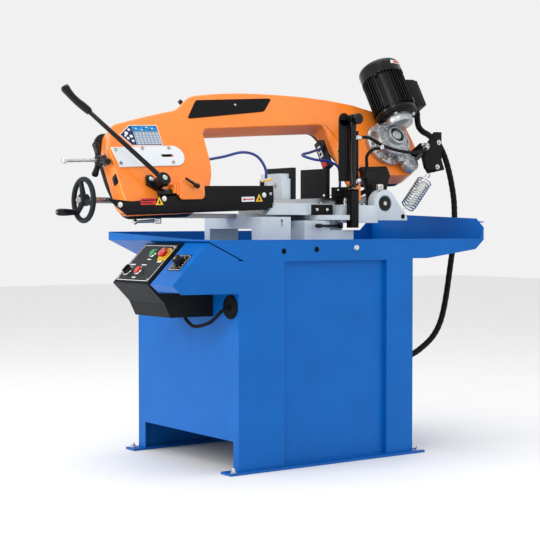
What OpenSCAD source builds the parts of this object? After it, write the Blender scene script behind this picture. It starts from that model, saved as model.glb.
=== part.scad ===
// Swivel-bow metal cutting band saw on a sheet-metal stand.
// X runs from the operator's end to the motor end, Y runs to the back, Z is up.
// The origin is the centre of the four anchor holes, on the floor.

/* [Stand] */
// Length of the cabinet along X
cab_x = 766; // [700:10:800]
// Depth of the cabinet along Y
cab_y = 664; // [620:4:700]
// Height of the cabinet's top deck
cab_z = 711; // [700:1:720]
// Thickness of the cabinet's walls
wall = 4; // [3:0.5:5]
// How far the middle of the front wall stands back
recess = 18; // [12:1:24]

/* [Tray] */
// Height of the front rim above the floor
rim_z = 778; // [770:1:790]
// Thickness of the tray's sheet
sheet = 3; // [2:0.5:4]

/* [Vise] */
// Height of the vise bed
bed_z = 910; // [905:1:915]
// Opening between the jaws
vise_gap = 139; // [100:1:150]
// Height of the jaw faces above the bed
jaw_h = 130; // [110:1:135]
// Radius of the vise handwheel
wheel_r = 78; // [70:1:85]

/* [Bow] */
// How far the bow leans back from upright
lean = 28; // [27.5:0.1:28.5]
// How far the resting bow dips towards the operator
dip = 2.4; // [2.2:0.1:2.6]
// Radius of the two band wheels
band_r = 118; // [114:1:118]
// Width of the saw band
band_w = 27; // [20:1:27]
// Thickness of the saw band
band_t = 0.9; // [0.8:0.1:1.1]

/* [Motor] */
// Radius of the motor body without its fins
motor_r = 74; // [70:1:76]
// Height of the motor above its flange
motor_h = 224; // [216:1:232]

/* [Hidden] */
$fn = 48;
hx = cab_x / 2;
hy = cab_y / 2;
foot_h = 8;
hole_x = 406;
hole_y = 306;
bolt_y = 334;
slope = 45;
panel_at = [-641, 0, 634];
px = 380;
py = -120;
pz = 913;
turn_x = 165;
turn_y = -120;
screw_y = -10;
screw_z = 914;
screw_r = 11;
hand_x = -789;
grip_r = 57;
grip_angle = 135.7;
jaw_face = turn_x - vise_gap;
jaw_t = 18;
idler = [-911, 197];
drive = [110, 222];
wheel_w = 30;
front_y = -45;
wall_y = -37;
shell_y = 30;
cover_y = 58;
cut_z = 14.2;
motor_u = 146;
motor_y = -130;
motor_v = 306;
pin_x = 200;
pin_y = -210;
pin_top = 1216;
pin_low = 844;
tension_v = 205;
spring_low = [474, -170, 872];
spring_top = [610, -170, 1030];

// routes of the hoses and cables
box_cable_route = [[-480, -150, 516], [-470, -190, 490], [-445, -250, 505], [-415, -280, 544],
    [-388, -285, 556]];
coolant_left_route = [[-321, -49, 1061], [-264, -60, 1072], [-196, -80, 1089], [-146, -97, 1076],
    [-115, -104.5, 1035], [-111, -104.5, 997]];
coolant_right_route = [[196, -30, 1118], [120, -60, 1100], [76, -70, 1088], [112, -96, 1072],
    [165, -108, 1066], [205, -116, 1048], [213, -118, 1010], [213, -118, 968.5]];
damper_upper_route = [[219, -212, 1149], [270, -216, 1151], [327, -218, 1128], [394, -218, 1111],
    [484, -214, 1104], [545, -200, 1112], [590, -180, 1130]];
damper_lower_route = [[222, -212, 991], [244, -214, 1002], [260, -216, 1040], [262, -216, 1085],
    [292, -218, 1110], [322, -218, 1113]];
conduit_upper_route = [[641, -62, 1262], [650, -60, 1222], [672, -60, 1200], [706, -60, 1186],
    [760, -60, 1150], [805, -60, 1070], [838, -60, 950], [845, -60, 850]];
conduit_lower_route = [[844.8, -60, 847.4], [826, -60, 690], [770, -60, 450], [660, -60, 345],
    [500, -60, 298], [384, -60, 290]];

// ---------------------------------------------------------------- helpers

// the bow's upright frame: origin on the bow pivot, X along the band
module in_band() {
    translate([px, py, pz]) rotate([0, -dip, 0]) children();
}

// the bow's leaning frame: X along the bow, Y through its thickness, Z up the bow
module in_bow() {
    in_band() rotate([-lean, 0, 0]) children();
}

// the control panel's frame: origin on its lower edge, X up the slope, Z out of it
module in_panel() {
    translate(panel_at) rotate([0, -slope, 0]) children();
}

// an outline in X and Z, extruded along Y from y0 to y1
module slab(points, y0, y1) {
    translate([0, y1, 0]) rotate([90, 0, 0]) linear_extrude(y1 - y0) polygon(points);
}

// an outline in Y and Z, extruded along X from x0 to x1
module slice(points, x0, x1) {
    translate([x0, 0, 0]) rotate([90, 0, 90]) linear_extrude(x1 - x0) polygon(points);
}

// a cylinder along Y at x and z, from y0 to y1
module rod_y(x, z, r, y0, y1) {
    translate([x, y1, z]) rotate([90, 0, 0]) cylinder(r = r, h = y1 - y0);
}

// a cylinder along X at y and z, from x0 to x1
module rod_x(y, z, r, x0, x1) {
    translate([x0, y, z]) rotate([0, 90, 0]) cylinder(r = r, h = x1 - x0);
}

// a cylinder along Z at x and y, from z0 to z1
module rod_z(x, y, r, z0, z1) {
    translate([x, y, z0]) cylinder(r = r, h = z1 - z0);
}

// a box given by its low and high corners
module block(a, b) {
    translate(a) cube(b - a);
}

// a cylinder from one point to another
module rod(a, b, r) {
    d = b - a;
    translate(a) rotate([0, acos(d[2] / norm(d)), atan2(d[1], d[0])]) cylinder(r = r, h = norm(d));
}

function unit(v) = v / norm(v);

// the direction of route p at point i
function heading(p, i) = unit(p[min(i + 1, len(p) - 1)] - p[max(i - 1, 0)]);

// a point t of the way from b to c, on a curve that also heeds a and d
function between(a, b, c, d, t) =
    0.5 * (2 * b + t * (c - a) + t * t * (2 * a - 5 * b + 4 * c - d)
    + t * t * t * (3 * b - a - 3 * c + d));

// a route with one more point put in between each pair
function smooth(p) = concat([for (i = [0 : len(p) - 2]) for (t = [0, 0.5])
    between(p[max(i - 1, 0)], p[i], p[i + 1], p[min(i + 2, len(p) - 1)], t)], [p[len(p) - 1]]);

// a round tube of radius r through the points p; aside is a direction the route never takes
module sweep(p, r, aside, sides = 8) {
    n = len(p);
    rings = [for (i = [0 : n - 1])
        let (d = heading(p, i), s = unit(cross(d, aside)), w = cross(d, s))
        for (k = [0 : sides - 1])
            p[i] + r * (cos(360 * k / sides) * s + sin(360 * k / sides) * w)];
    ends = [[for (k = [0 : sides - 1]) k],
        [for (k = [sides - 1 : -1 : 0]) (n - 1) * sides + k]];
    walls = [for (i = [0 : n - 2]) for (k = [0 : sides - 1])
        let (a = i * sides, b = a + sides, j = (k + 1) % sides)
        for (f = [[a + k, b + k, b + j], [a + k, b + j, a + j]]) f];
    polyhedron(points = rings, faces = concat(ends, walls));
}

module tube(route, r, aside = [0.2, 1, 0.1]) {
    sweep(smooth(route), r, aside);
}

// ---------------------------------------------------------------- stand

// front wall: two corner posts and a middle panel that stands back
module cabinet_front() {
    left = -195;
    right = 259;
    top = cab_z - wall;
    block([-hx, -hy, foot_h], [left, -hy + wall, top]);
    block([left - wall, -hy, foot_h], [left, -hy + recess + wall, top]);
    block([left - wall, -hy + recess, foot_h], [right + wall, -hy + recess + wall, top]);
    block([right, -hy, foot_h], [right + wall, -hy + recess + wall, top]);
    block([right, -hy, foot_h], [hx, -hy + wall, top]);
}

module cabinet() {
    skirt = 105;
    color("#1173cf") difference() {
        union() {
            cabinet_front();
            block([-hx, hy - wall, foot_h], [hx, hy, cab_z - wall]);
            block([-hx, -hy, foot_h], [-hx + wall, hy, cab_z - wall]);
            block([hx - wall, -hy, foot_h], [hx, hy, cab_z - wall]);
            block([-hx, -hy, cab_z - wall], [hx, hy, cab_z]);
        }
        for (x = [-hx - 1, hx - wall - 1])
            block([x, -298, foot_h - 1], [x + wall + 2, 285, skirt]);
        rod_x(-285, 556, 34, -hx - 1, -hx + wall + 1);
        rod_x(-60, 290, 15, hx - wall - 1, hx + 1);
    }
}

module foot_plates() {
    color("#0d62b0") for (s = [-1, 1]) difference() {
        block([-428, s * 320 - 30, 0], [428, s * 320 + 30, foot_h]);
        for (e = [-1, 1]) {
            rod_z(e * hole_x, s * hole_y, 6, -1, foot_h + 1);
            rod_z(e * hole_x, s * bolt_y, 5.3, -1, foot_h + 1);
        }
    }
}

// levelling bolts: shank through the plate, nut on top of it
module foot_bolts() {
    color("#c9ccce") for (s = [-1, 1]) for (e = [-1, 1])
        translate([e * hole_x, s * bolt_y, 0]) {
            cylinder(r = 5, h = 24);
            translate([0, 0, foot_h]) cylinder(r = 9, h = 8, $fn = 6);
        }
}

// boat-shaped coolant tray: a floor with sloped ends and walls round it
module tray() {
    t = sheet;
    z0 = cab_z;
    lip = [-508, rim_z + 1];
    floor_line = [lip, [-362, z0], [456, z0], [698, z0 + 31], [740, z0 + 66]];
    color("#1478d4") difference() {
        union() {
            slab(concat(floor_line, [[740, z0 + 70], [697, z0 + 34.5], [455.5, z0 + t],
                [-361.4, z0 + t], [-508, rim_z + 4.5]]), -hy, hy);
            slab(concat(floor_line, [[740, rim_z + 46], [722, rim_z], [-505, rim_z]]), -hy, -hy + t);
            slab(concat(floor_line, [[740, 872], [674, 812], [-508, 806]]), hy - t, hy);
            slice([[-hy, z0 + 66], [hy, z0 + 66], [hy, 872], [230, 879], [-293, 858], [-hy, 824]],
                740 - t, 740);
            slice([[-hy, rim_z - 1], [hy, rim_z - 1], [hy, 806], [-hy, rim_z + 1]], -508, -505);
        }
        rod_y(-198, 742, 8, -hy - 1, -hy + t + 1);
        rod_y(-58, 747, 8, -hy - 1, -hy + t + 1);
    }
}

module cable_grommet() {
    color("#16181a") difference() {
        union() {
            rod_x(-285, 556, 33.5, -hx - 6, -hx + 8);
            rod_x(-285, 556, 40, -hx - 6, -hx);
        }
        rod_x(-285, 556, 8, -hx - 7, -hx + 9);
    }
}

module box_cable() {
    color("#141517") tube(box_cable_route, 6, [1, 0, -1]);
}

// ---------------------------------------------------------------- controls

module control_box() {
    color("#1b1d20") difference() {
        slab([[-508, 767], [-641, 634], [-577, 570], [-552, 520], [-hx, 520], [-hx, 708],
            [-400, 722], [-495, 766]], -175, 60);
        in_panel() for (p = [[55, 20], [55, -55], [137, -58], [133, -135]])
            translate([p[0], p[1], -16]) cylinder(r = 9, h = 20);
    }
}

// face plate with the holes of the four controls and the stop's raised ring
module control_face() {
    color("#2a2d31") in_panel() difference() {
        union() {
            block([8, -168, 0], [180, 52, 3]);
            translate([133, -135, 3]) cylinder(r = 24, h = 3);
        }
        for (p = [[55, 20], [55, -55], [137, -58], [133, -135]])
            translate([p[0], p[1], -1]) cylinder(r = 9, h = 10);
    }
}

// a push button: a shank in its hole and a head that stands off the plate
module push(x, y, z0, head_r, head_h) {
    in_panel() translate([x, y, 0]) {
        translate([0, 0, -6]) cylinder(r = 8, h = z0 + 7);
        translate([0, 0, z0]) cylinder(r = head_r, h = head_h);
    }
}

module start_button() {
    color("#1f9d4a") push(137, -58, 8, 14, 6);
}

module stop_button() {
    color("#d21f1f") push(55, -55, 8, 14, 7);
}

module emergency_stop() {
    color("#d5121a") push(133, -135, 13, 19, 10);
}

module selector_switch() {
    color("#17181a") in_panel() translate([55, 20, 0]) {
        translate([0, 0, -6]) cylinder(r = 8, h = 11);
        translate([0, 0, 4]) cylinder(r = 17, h = 9);
        block([-16, -4, 12], [16, 4, 21]);
    }
}

// blue sheet-metal bracket on the tray's corner, open at the bottom
module dial_bracket() {
    color("#1173cf") difference() {
        slab([[-503, 772], [-641, 634], [-606, 604], [-hx, 602], [-hx, 717]], -hy, -192);
        slab([[-503, 768], [-637, 634], [-604, 601], [-hx - 3, 600], [-hx - 3, 713]], -hy + 3, -195);
        in_panel() translate([102, -262, -6]) cylinder(r = 6.4, h = 8);
    }
}

module speed_knob() {
    color("#17181a") in_panel() translate([102, -262, 0]) difference() {
        union() {
            translate([0, 0, -8]) cylinder(r = 6, h = 12);
            translate([0, 0, 3]) cylinder(r = 19, h = 5);
            translate([0, 0, 7]) cylinder(r = 15, h = 19);
        }
        for (k = [0 : 11]) rotate([0, 0, 30 * k]) translate([16.6, 0, 9]) cylinder(r = 3, h = 18);
    }
}

// ---------------------------------------------------------------- base and vise

module base_casting() {
    z0 = cab_z + sheet;
    color("#c3c8cc") difference() {
        union() {
            block([-198, -200, z0], [-72, 165, 860]);
            block([-198, -100, 840], [-72, 60, 872]);
            block([-73, -40, z0], [-3, 30, 789]);
            block([-4, -190, z0], [111, 60, 848]);
            block([111, -190, z0], [220, 60, 814]);
            block([-72, 0, 850], [-4, 80, 872]);
            block([-4, 0, z0], [182, 80, 872]);
            rod_z(turn_x, turn_y, 45, z0, 849.5);
            rod_z(turn_x, turn_y, 22, z0, 864);
        }
        block([-199, -140, 740], [-71, 130, 818]);
        rod_y(-110, 845, 6, -201, -186);
        block([-113, -201, 826], [-107, -186, 845]);
    }
}

// slotted table the work lies on, with a channel for the vise's nut
module rear_bed() {
    color("#b4babe") difference() {
        union() {
            block([-118, -100, 872], [165, 60, bed_z]);
            block([160, 0, 872], [196, 60, bed_z]);
        }
        block([-119, -35, 890], [150, 15, bed_z + 1]);
        for (y = [-78, 34]) block([-119, y, 899], [150, y + 12, bed_z + 1]);
    }
}

module fixed_jaw() {
    color("#222528") {
        difference() {
            block([turn_x, -98, bed_z], [turn_x + 17, 60, bed_z + jaw_h]);
            for (y = [-60, 25]) rod_x(y, bed_z + 80, 7, turn_x + 9, turn_x + 18);
        }
        block([turn_x + 17, 15, bed_z], [196, 60, bed_z + 50]);
    }
}

module vise_rail() {
    color("#9aa0a4") difference() {
        union() {
            block([-545, -45, 856], [-198, 25, 872]);
            block([-560, -28, 856], [-530, 10, screw_z]);
            rod_x(screw_y, screw_z, 18, -560, -530);
        }
        rod_x(screw_y, screw_z, screw_r + 0.05, -561, -529);
        rod_z(-505, -10, 5.4, 855, 866);
    }
}

module rail_lever() {
    color("#b9bdc0") {
        rod_z(-505, -10, 5, 850, 865);
        rod_z(-505, -10, 15, 836, 855.5);
        rod([-515, -12, 846], [-600, -30, 842], 6);
        translate([-606, -31, 842]) sphere(r = 10);
    }
}

// vise jaw with the long nut that runs on the screw
module moving_jaw() {
    color("#c3c8cc") difference() {
        union() {
            block([jaw_face - 58, -90, bed_z + 0.5], [jaw_face - jaw_t, 50, 1000]);
            block([jaw_face - 58, -80, 990], [jaw_face - jaw_t, 40, 1018]);
            rod_x(screw_y, screw_z, 17, -285, -10);
            block([-60, -24, screw_z - 6], [-20, 4, screw_z + 40]);
        }
        rod_x(screw_y, screw_z, screw_r + 0.4, -286, 2);
    }
}

module jaw_plate() {
    color("#222528") difference() {
        block([jaw_face - jaw_t, -98, bed_z + 1], [jaw_face, 60, bed_z + jaw_h]);
        for (y = [-60, 25]) rod_x(y, bed_z + 80, 7, jaw_face - 8, jaw_face + 1);
    }
}

module vise_screw() {
    color("#a9adb0") {
        rod_x(screw_y, screw_z, screw_r, -812, -135);
        rod_x(screw_y, screw_z, 16.5, -576, -560.5);
        rod_x(screw_y, screw_z, 16.5, -529.5, -518);
    }
}

// three-spoked handwheel; the crank grip's pin stands on one spoke
module handwheel() {
    color("#2b2f33") translate([hand_x, screw_y, screw_z]) rotate([0, -90, 0]) difference() {
        union() {
            rotate_extrude() translate([wheel_r - 9, 0]) circle(r = 9);
            translate([0, 0, -14]) cylinder(r = 21, h = 30);
            for (k = [0 : 2]) rotate([0, 0, grip_angle + 120 * k])
                block([12, -9, -5], [wheel_r - 12, 9, 5]);
            rotate([0, 0, grip_angle]) translate([grip_r, 0, 0]) cylinder(r = 12, h = 8);
            rotate([0, 0, grip_angle]) translate([grip_r, 0, 0]) cylinder(r = 5, h = 80);
        }
        translate([0, 0, -15]) cylinder(r = screw_r, h = 40);
    }
}

module crank_grip() {
    color("#17181a") translate([hand_x, screw_y, screw_z]) rotate([0, -90, 0])
        rotate([0, 0, grip_angle]) translate([grip_r, 0, 9.5]) difference() {
            union() {
                cylinder(r = 10, h = 10);
                translate([0, 0, 9]) cylinder(r1 = 10, r2 = 12.5, h = 40);
                translate([0, 0, 49]) cylinder(r1 = 12.5, r2 = 11, h = 24);
            }
            translate([0, 0, -1]) cylinder(r = 5.06, h = 80);
        }
}

// ---------------------------------------------------------------- swivel

// turning disc with the slotted bar and the arm that carries the bow
module swivel_table() {
    color("#c3c8cc") difference() {
        union() {
            rod_z(turn_x, turn_y, 105, 850, 868);
            slab([[-104, bed_z], [-146, 868], [140, 868], [140, bed_z]], -152, -106);
            block([43, -165, 869], [144, -151, 907]);
            block([159, -190, 840], [336, -112, 905]);
            rod_y(pin_x, pin_low, 12, -196, -188);
            rod_y(pin_x, pin_low, 8, -214, -188);
        }
        rod_z(turn_x, turn_y, 22.05, 849, 866);
        rod_z(turn_x, turn_y, 48, 839, 850);
        rod_y(px, pz, 51.3, -191, -111);
        block([175, -231, 849], [246, -194, 869]);
        block([-150, -123, 885], [141, -117, bed_z + 1]);
        block([158, -132, 893], [337, -111, 906]);
    }
}

// two cheeks joined by a base, with bores for the bow's shaft
module pivot_casting() {
    cheek = [[336, 850], [488, 850], [488, 863], [413, 952], [390, 964], [362, 961], [336, 930]];
    low_cheek = [[336, 850], [488, 850], [488, 863], [412, 925], [390, 942], [362, 940], [336, 912]];
    color("#c3c8cc") difference() {
        union() {
            slab(cheek, -180, -140);
            slab(low_cheek, -100, -60);
            rod_y(px, pz, 51, -180, -140);
            rod_y(px, pz, 31, -100, -60);
            block([336, -180, 850], [488, -60, 863]);
            block([336.5, -180, 850], [348, -60, 872]);
            block([466, -178, 860], [482, -162, 868]);
        }
        rod_y(px, pz, 15.04, -181, -59);
        rod_y(px, pz, 31, -181, -174);
        rod_y(467, 863, 4, -181, -150);
    }
}

module pivot_shaft() {
    color("#1b1d20") {
        rod_y(px, pz, 15, -178, -52);
        rod_y(px, pz, 27, -179, -174.2);
        rod_y(px, pz, 22, -59.6, -50);
    }
}

module stop_screw() {
    color("#c9ccce") {
        rod_z(185, -182, 5, 905, 931);
        translate([185, -182, 905]) cylinder(r = 7, h = 7, $fn = 6);
    }
}

// open coil between the pivot casting and the bow's bracket
module lift_spring() {
    turns = 12;
    per = 10;
    axis = spring_top - spring_low;
    d = unit(axis);
    s = unit(cross(d, [0, 1, 0]));
    w = cross(d, s);
    a = 0.18;
    b = 0.84;
    coil = [for (i = [0 : turns * per])
        spring_low + axis * (a + (b - a) * i / (turns * per))
        + 27 * (cos(360 * i / per) * s + sin(360 * i / per) * w)];
    color("#b9bdc0") sweep(concat([spring_low + 8 * d, spring_low + axis * 0.1 + 8 * s], coil,
        [spring_low + axis * 0.9 + 8 * s, spring_top - 10 * d]), 3, d, 6);
}

module swivel_lever() {
    color("#1b1d20") {
        rod_z(165, -182, 10, 820, 839.5);
        rod([160, -186, 828], [60, -207, 829], 5);
        rod([62, -206.6, 829], [28, -213.6, 829.3], 8);
    }
}

// ---------------------------------------------------------------- bow

// outline of the bow's front wall
bow_face = [[-1088, 226], [-1088, 40], [-1074, 3], [-784, 3], [-743, 64], [-717, 114],
    [-704, 165], [-696, 289], [-683, 302], [-420, 312], [-151, 320], [-144, 297], [-149, 125],
    [-139, 66], [-139, 10], [-95, 10], [-95, 97], [195, 96], [223, 119], [262, 175], [268, 230],
    [262, 290], [250, 340], [140, 375], [55, 400], [38, 407], [-80, 429], [-209, 443],
    [-340, 451], [-477, 454], [-600, 449], [-691, 439], [-720, 425], [-774, 380],
    [-900, 354], [-1054, 316]];
// outline of the side walls, which stand clear of the fixed jaw
bow_side = [[-1084, 226], [-1084, 40], [-1070, 5], [-786, 5], [-745, 66], [-719, 115],
    [-706, 165], [-698, 289], [-684, 304], [-420, 314], [-150, 322], [-80, 190], [-80, 97],
    [195, 96], [223, 119], [260, 175], [266, 230], [260, 290], [248, 338], [140, 373],
    [55, 398], [38, 405], [-80, 427], [-209, 441], [-340, 449], [-477, 452], [-600, 447],
    [-690, 437], [-718, 423], [-773, 378], [-900, 352], [-1052, 314]];
// outline of the black rear cover
bow_rear = [[-1085, 226], [-1085, 128], [-1068, 40], [-1046, 5], [-788, 5], [-745, 66], [-716, 165],
    [-700, 300], [-670, 336], [-140, 336], [-60, 200], [-50, 184], [-50, 100], [190, 100],
    [214, 119], [250, 175], [254, 230], [250, 290], [238, 334], [55, 394], [-80, 423],
    [-209, 437], [-477, 448], [-690, 433], [-718, 418], [-773, 374],
    [-1000, 322], [-1049, 332], [-1080, 314]];

// orange bow: hollow for the wheels and the band's return run
module bow_casting() {
    color("#f4842c") {
        difference() {
            union() {
                in_bow() slab(bow_face, front_y, wall_y);
                in_bow() slab(bow_side, wall_y - 0.5, shell_y);
                in_bow() block([-60, -62, 80], [70, -38, 127]);
                in_band() slab([[-26, -12], [26, -12], [62, 96], [62, 120], [-52, 120], [-52, 96]],
                    -17, 17);
                in_band() rod_y(0, 0, 30, -17, 17);
                in_band() block([-139.9, -36, 14], [-96, -10, 78]);
                in_band() block([-915, -57, 62], [-905.5, -4, 92]);
                in_bow() block([-945, -58, 34], [-884, -44, 66]);
                in_bow() rod_y(-951, 74, 15, -62, -44);
            }
            in_bow() rod_y(idler[0], idler[1], band_r + 10, wall_y, shell_y + 1);
            in_bow() rod_y(drive[0], drive[1], band_r + 3.5, wall_y, shell_y + 1);
            in_bow() slab([[-880, 296], [-683, 311], [-151, 327], [60, 320], [92, 325], [92, 351],
                [60, 376], [-151, 410], [-683, 425], [-760, 366], [-870, 328]], wall_y, shell_y + 1);
            in_band() block([-52, 11.5, 31], [-11, 18, 67]);
            in_bow() slab([[-911, 60], [-700, 24], [-700, 66], [-783, 95], [-911, 95]], -27, 24);
            in_bow() block([20, -28, 88], [115, 26, 108]);
            in_bow() block([-150, -22, 0], [-90, 10, 46]);
            in_bow() rod_y(drive[0], drive[1], 15, front_y - 1, wall_y + 1);
            in_bow() rod_y(-951, 74, 8.05, -63, -40);
            in_band() rod_y(0, 0, 15.05, -20, 20);
        }
        in_bow() difference() {
            rod_y(idler[0], idler[1], 10, wall_y - 2, 22);
            rod_y(idler[0], idler[1], 4, 12, 23);
        }
    }
}

module bow_cover() {
    color("#17181a") in_bow() difference() {
        slab(bow_rear, shell_y, cover_y);
        rod_y(idler[0], idler[1], band_r + 8, shell_y - 1, shell_y + 8);
        rod_y(drive[0], drive[1], band_r - 8, shell_y - 1, shell_y + 8);
    }
}

module top_insert() {
    color("#121314") in_bow()
        slab([[-689, 410], [-680, 418], [-362, 430], [-352, 426], [-398, 377], [-410, 373],
            [-730, 342], [-739, 346]], front_y - 2, front_y);
}

// white slide plate over the idler's tension slot
module slide_plate() {
    color("#e4e9ec") in_bow() difference() {
        union() {
            slab([[-1082, 226], [-1070, 150], [-847, 152], [-847, 230]], front_y - 4, front_y);
            rod_y(-847, 191, 39, front_y - 4, front_y);
        }
        block([-895, front_y - 5, 186], [-855, front_y + 1, 197]);
        for (x = [-895, -855]) rod_y(x, 191.5, 5.5, front_y - 5, front_y + 1);
    }
}

// black guard in front of the band's left run, held off the bow by spacers
module guard_beam() {
    color("#141517") difference() {
        union() {
            in_band() slab([[-1166, 52], [-1099, -2], [-529, -4], [-503, 21], [-503, 78],
                [-786, 84], [-891, 57], [-971, 47], [-1072, 40]], -50, -44);
            in_band() block([-1095, -50, -2], [-700, -6, 1]);
            in_bow() for (x = [-1030, -900, -800]) rod_y(x, 12, 7, -60, front_y);
        }
        in_band() block([-1200, -100, -20], [-700, -50, 200]);
    }
}

// left band guide: a block with a slot the band runs through
module left_guide() {
    color("#23262a") in_band() difference() {
        union() {
            block([-560, -44, 0], [-505, 16, 66]);
            rod_z(-530, -20, 8, 60, 92);
        }
        block([-561, -1.6, -8], [-504, 1.6, 30]);
        rod_y(-516, 50, 4, -45, -30);
    }
}

module right_guide() {
    color("#23262a") in_band() difference() {
        block([-174, -30, 2], [-140, 12, 60]);
        block([-175, -1.6, -8], [-139, 1.6, 30]);
    }
}

module right_guard() {
    color("#17181a") in_band() {
        block([-230, -52, 16], [-141, -30, 66]);
        block([-333, -76, 36], [-212, -50, 39]);
    }
}

// black bracket on the bow's right end that holds the top of the spring
module bow_bracket() {
    color("#17181a") {
        in_bow() block([212, -128, 152], [242, front_y, 187]);
        slab([[590, 1052], [608, 1032], [682, 1046], [667, 1084], [666, 1190], [640, 1190],
            [600, 1140], [578, 1090]], -176, -158);
        rod_y(spring_top[0] + 8, spring_top[2] + 10, 6, -186, -170);
    }
}

// bar from the bow's front wall to the damper's top pin
module damper_arm() {
    color("#17181a") {
        difference() {
            translate([pin_x, -181, 1204]) rotate([0, 0, 51.3]) block([-9, -11, 0], [262, 11, 24]);
            in_bow() block([-300, front_y, 0], [300, 200, 600]);
        }
        rod_y(pin_x, pin_top, 8, -222, -180);
    }
}

// worm gearbox: flange on the bow, stepped cover, worm housing up to the motor
module gearbox() {
    color("#b7bbbe") in_bow() difference() {
        union() {
            rod_y(drive[0], drive[1], 88, -72, front_y);
            rod_y(drive[0], drive[1], 70, -112, -71);
            rod_y(drive[0], drive[1], 52, -135, -111);
            rod_z(motor_u, motor_y, 54, 262, motor_v - 12);
            rod_z(motor_u, motor_y, 80, motor_v - 13, motor_v);
            rod_y(172, 126, 34, -90, -58);
            block([112, -90, 130], [190, -58, 230]);
        }
        rod_y(drive[0], drive[1], 14.4, -80, front_y + 1);
        rod_y(drive[0], drive[1], 20, -136, -122);
        rod_z(motor_u, motor_y, 86, motor_v, motor_v + 8);
    }
}

// motor with cooling fins, fan cowl and the saddle for its wiring box
module motor() {
    top = motor_v + motor_h;
    color("#17181a") in_bow() union() {
        rod_z(motor_u, motor_y, motor_r + 8, motor_v, motor_v + 22);
        rod_z(motor_u, motor_y, motor_r, motor_v + 20, top - 54);
        for (k = [0 : 27]) translate([motor_u, motor_y, motor_v + 22]) rotate([0, 0, 360 / 28 * k])
            block([motor_r - 4, -1.5, 0], [motor_r + 8, 1.5, 146]);
        rod_z(motor_u, motor_y, motor_r + 9, top - 62, top - 10);
        rod_z(motor_u, motor_y, motor_r + 2, top - 12, top);
        block([motor_u + 60, -160, motor_v + 39], [motor_u + 83, -90, motor_v + 134]);
    }
}

// wiring box on the motor's saddle
module terminal_box() {
    color("#141517") in_bow() block([motor_u + 83, -168, motor_v + 27], [288, -82, motor_v + 146]);
}

module tension_rod() {
    color("#8d9194") in_bow() {
        rod_x(0, tension_v, 6, -1240, -1088);
        rod_x(0, tension_v, 10, -1250, -1236);
    }
}

module star_handle() {
    color("#1b1d20") in_bow() difference() {
        union() {
            rod_x(0, tension_v, 17, -1124, -1092);
            for (a = [95, 215, 335])
                rod([-1110, 12 * cos(a), tension_v + 12 * sin(a)],
                    [-1110, 64 * cos(a), tension_v + 64 * sin(a)], 11);
        }
        rod_x(0, tension_v, 6.3, -1125, -1091);
    }
}

// orange cover over the band cleaner, hinged at its left edge
module brush_cover() {
    color("#f4842c") in_band() {
        slab([[-899, 48], [-890, 40], [-808, 39], [-798, 49], [-799, 99], [-806, 107],
            [-888, 108], [-899, 100]], -64, -54);
        rod_y(-838, 84, 5, -82, -62);
        rod([-838, -80, 84], [-884, -80, 111], 4);
        rod_z(-901, -56, 4, 57, 99);
    }
}

// long feed lever on a pin through the bow's front boss
module feed_lever() {
    color("#17181a") in_bow() {
        rod_y(-951, 74, 8, -92, -41);
        rod_y(-951, 74, 24, -106, -84);
        rod([-951, -94, 74], [-1157, -94, 342], 8.5);
        rod([-1150, -94, 333], [-1216, -94, 424], 13);
        rod_y(-951, 74, 17, -84, -62.5);
    }
}

// ---------------------------------------------------------------- band and wheels

// a point of the leaning frame, in the upright frame
function upright(u, y, v) = [u, cos(lean) * y + sin(lean) * v, -sin(lean) * y + cos(lean) * v];

// a band section on a wheel: middle, direction across the band, outward direction
function on_wheel(c, a) =
    let (r = band_r + band_t / 2 + 0.9)
    [upright(c[0] + r * cos(a), 0, c[1] + r * sin(a)), upright(0, 1, 0),
     upright(cos(a), 0, sin(a))];

// closed saw band: round both wheels, and turned upright between the guides
module band() {
    parts = concat(
        [for (k = [0 : 14]) on_wheel(idler, 91.4 + k * 178.6 / 14)],
        [for (x = [-570, -350, -135]) [[x, 0, cut_z], [0, 0, -1], [0, -1, 0]]],
        [for (k = [0 : 14]) on_wheel(drive, 270 + k * 181.4 / 14)]);
    n = len(parts);
    corners = [for (p = parts) for (c = [[-1, -1], [1, -1], [1, 1], [-1, 1]])
        p[0] + c[0] * p[1] * band_w / 2 + c[1] * p[2] * band_t / 2];
    skin = [for (i = [0 : n - 1]) for (k = [0 : 3])
        let (a = 4 * i, b = 4 * ((i + 1) % n), j = (k + 1) % 4)
        for (f = [[a + k, a + j, b + j], [a + k, b + j, b + k]]) f];
    color("#9da3a8") in_band() polyhedron(points = corners, faces = skin);
}

// spoked band wheel with a boss at its middle
module band_wheel(c, hub) {
    in_bow() difference() {
        union() {
            rod_y(c[0], c[1], band_r, -wheel_w / 2, wheel_w / 2);
            rod_y(c[0], c[1], hub, -wheel_w / 2 - 6, wheel_w / 2 + 4);
        }
        for (s = [-1, 1]) difference() {
            rod_y(c[0], c[1], band_r - 14, s * 13 - 9, s * 13 + 9);
            rod_y(c[0], c[1], hub + 2, -40, 40);
        }
        for (k = [0 : 4]) rod_y(c[0] + 66 * cos(72 * k), c[1] + 66 * sin(72 * k), 20, -30, 30);
        rod_y(c[0], c[1], 10.05, -30, 25);
    }
}

module idler_wheel() {
    color("#8f969b") band_wheel(idler, 26);
}

module drive_wheel() {
    color("#8f969b") {
        band_wheel(drive, 26);
        in_bow() rod_y(drive[0], drive[1], 14, -70, -19);
        in_bow() rod_y(drive[0], drive[1], 12, -21, 18);
    }
}

// ---------------------------------------------------------------- coolant tap and damper

module tap_lever() {
    color("#e8b91c") in_band() {
        rod_z(-530, -20, 9, 92.4, 98);
        rod([-522, -20, 95], [-488, -20, 101], 3.5);
    }
}

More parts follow.
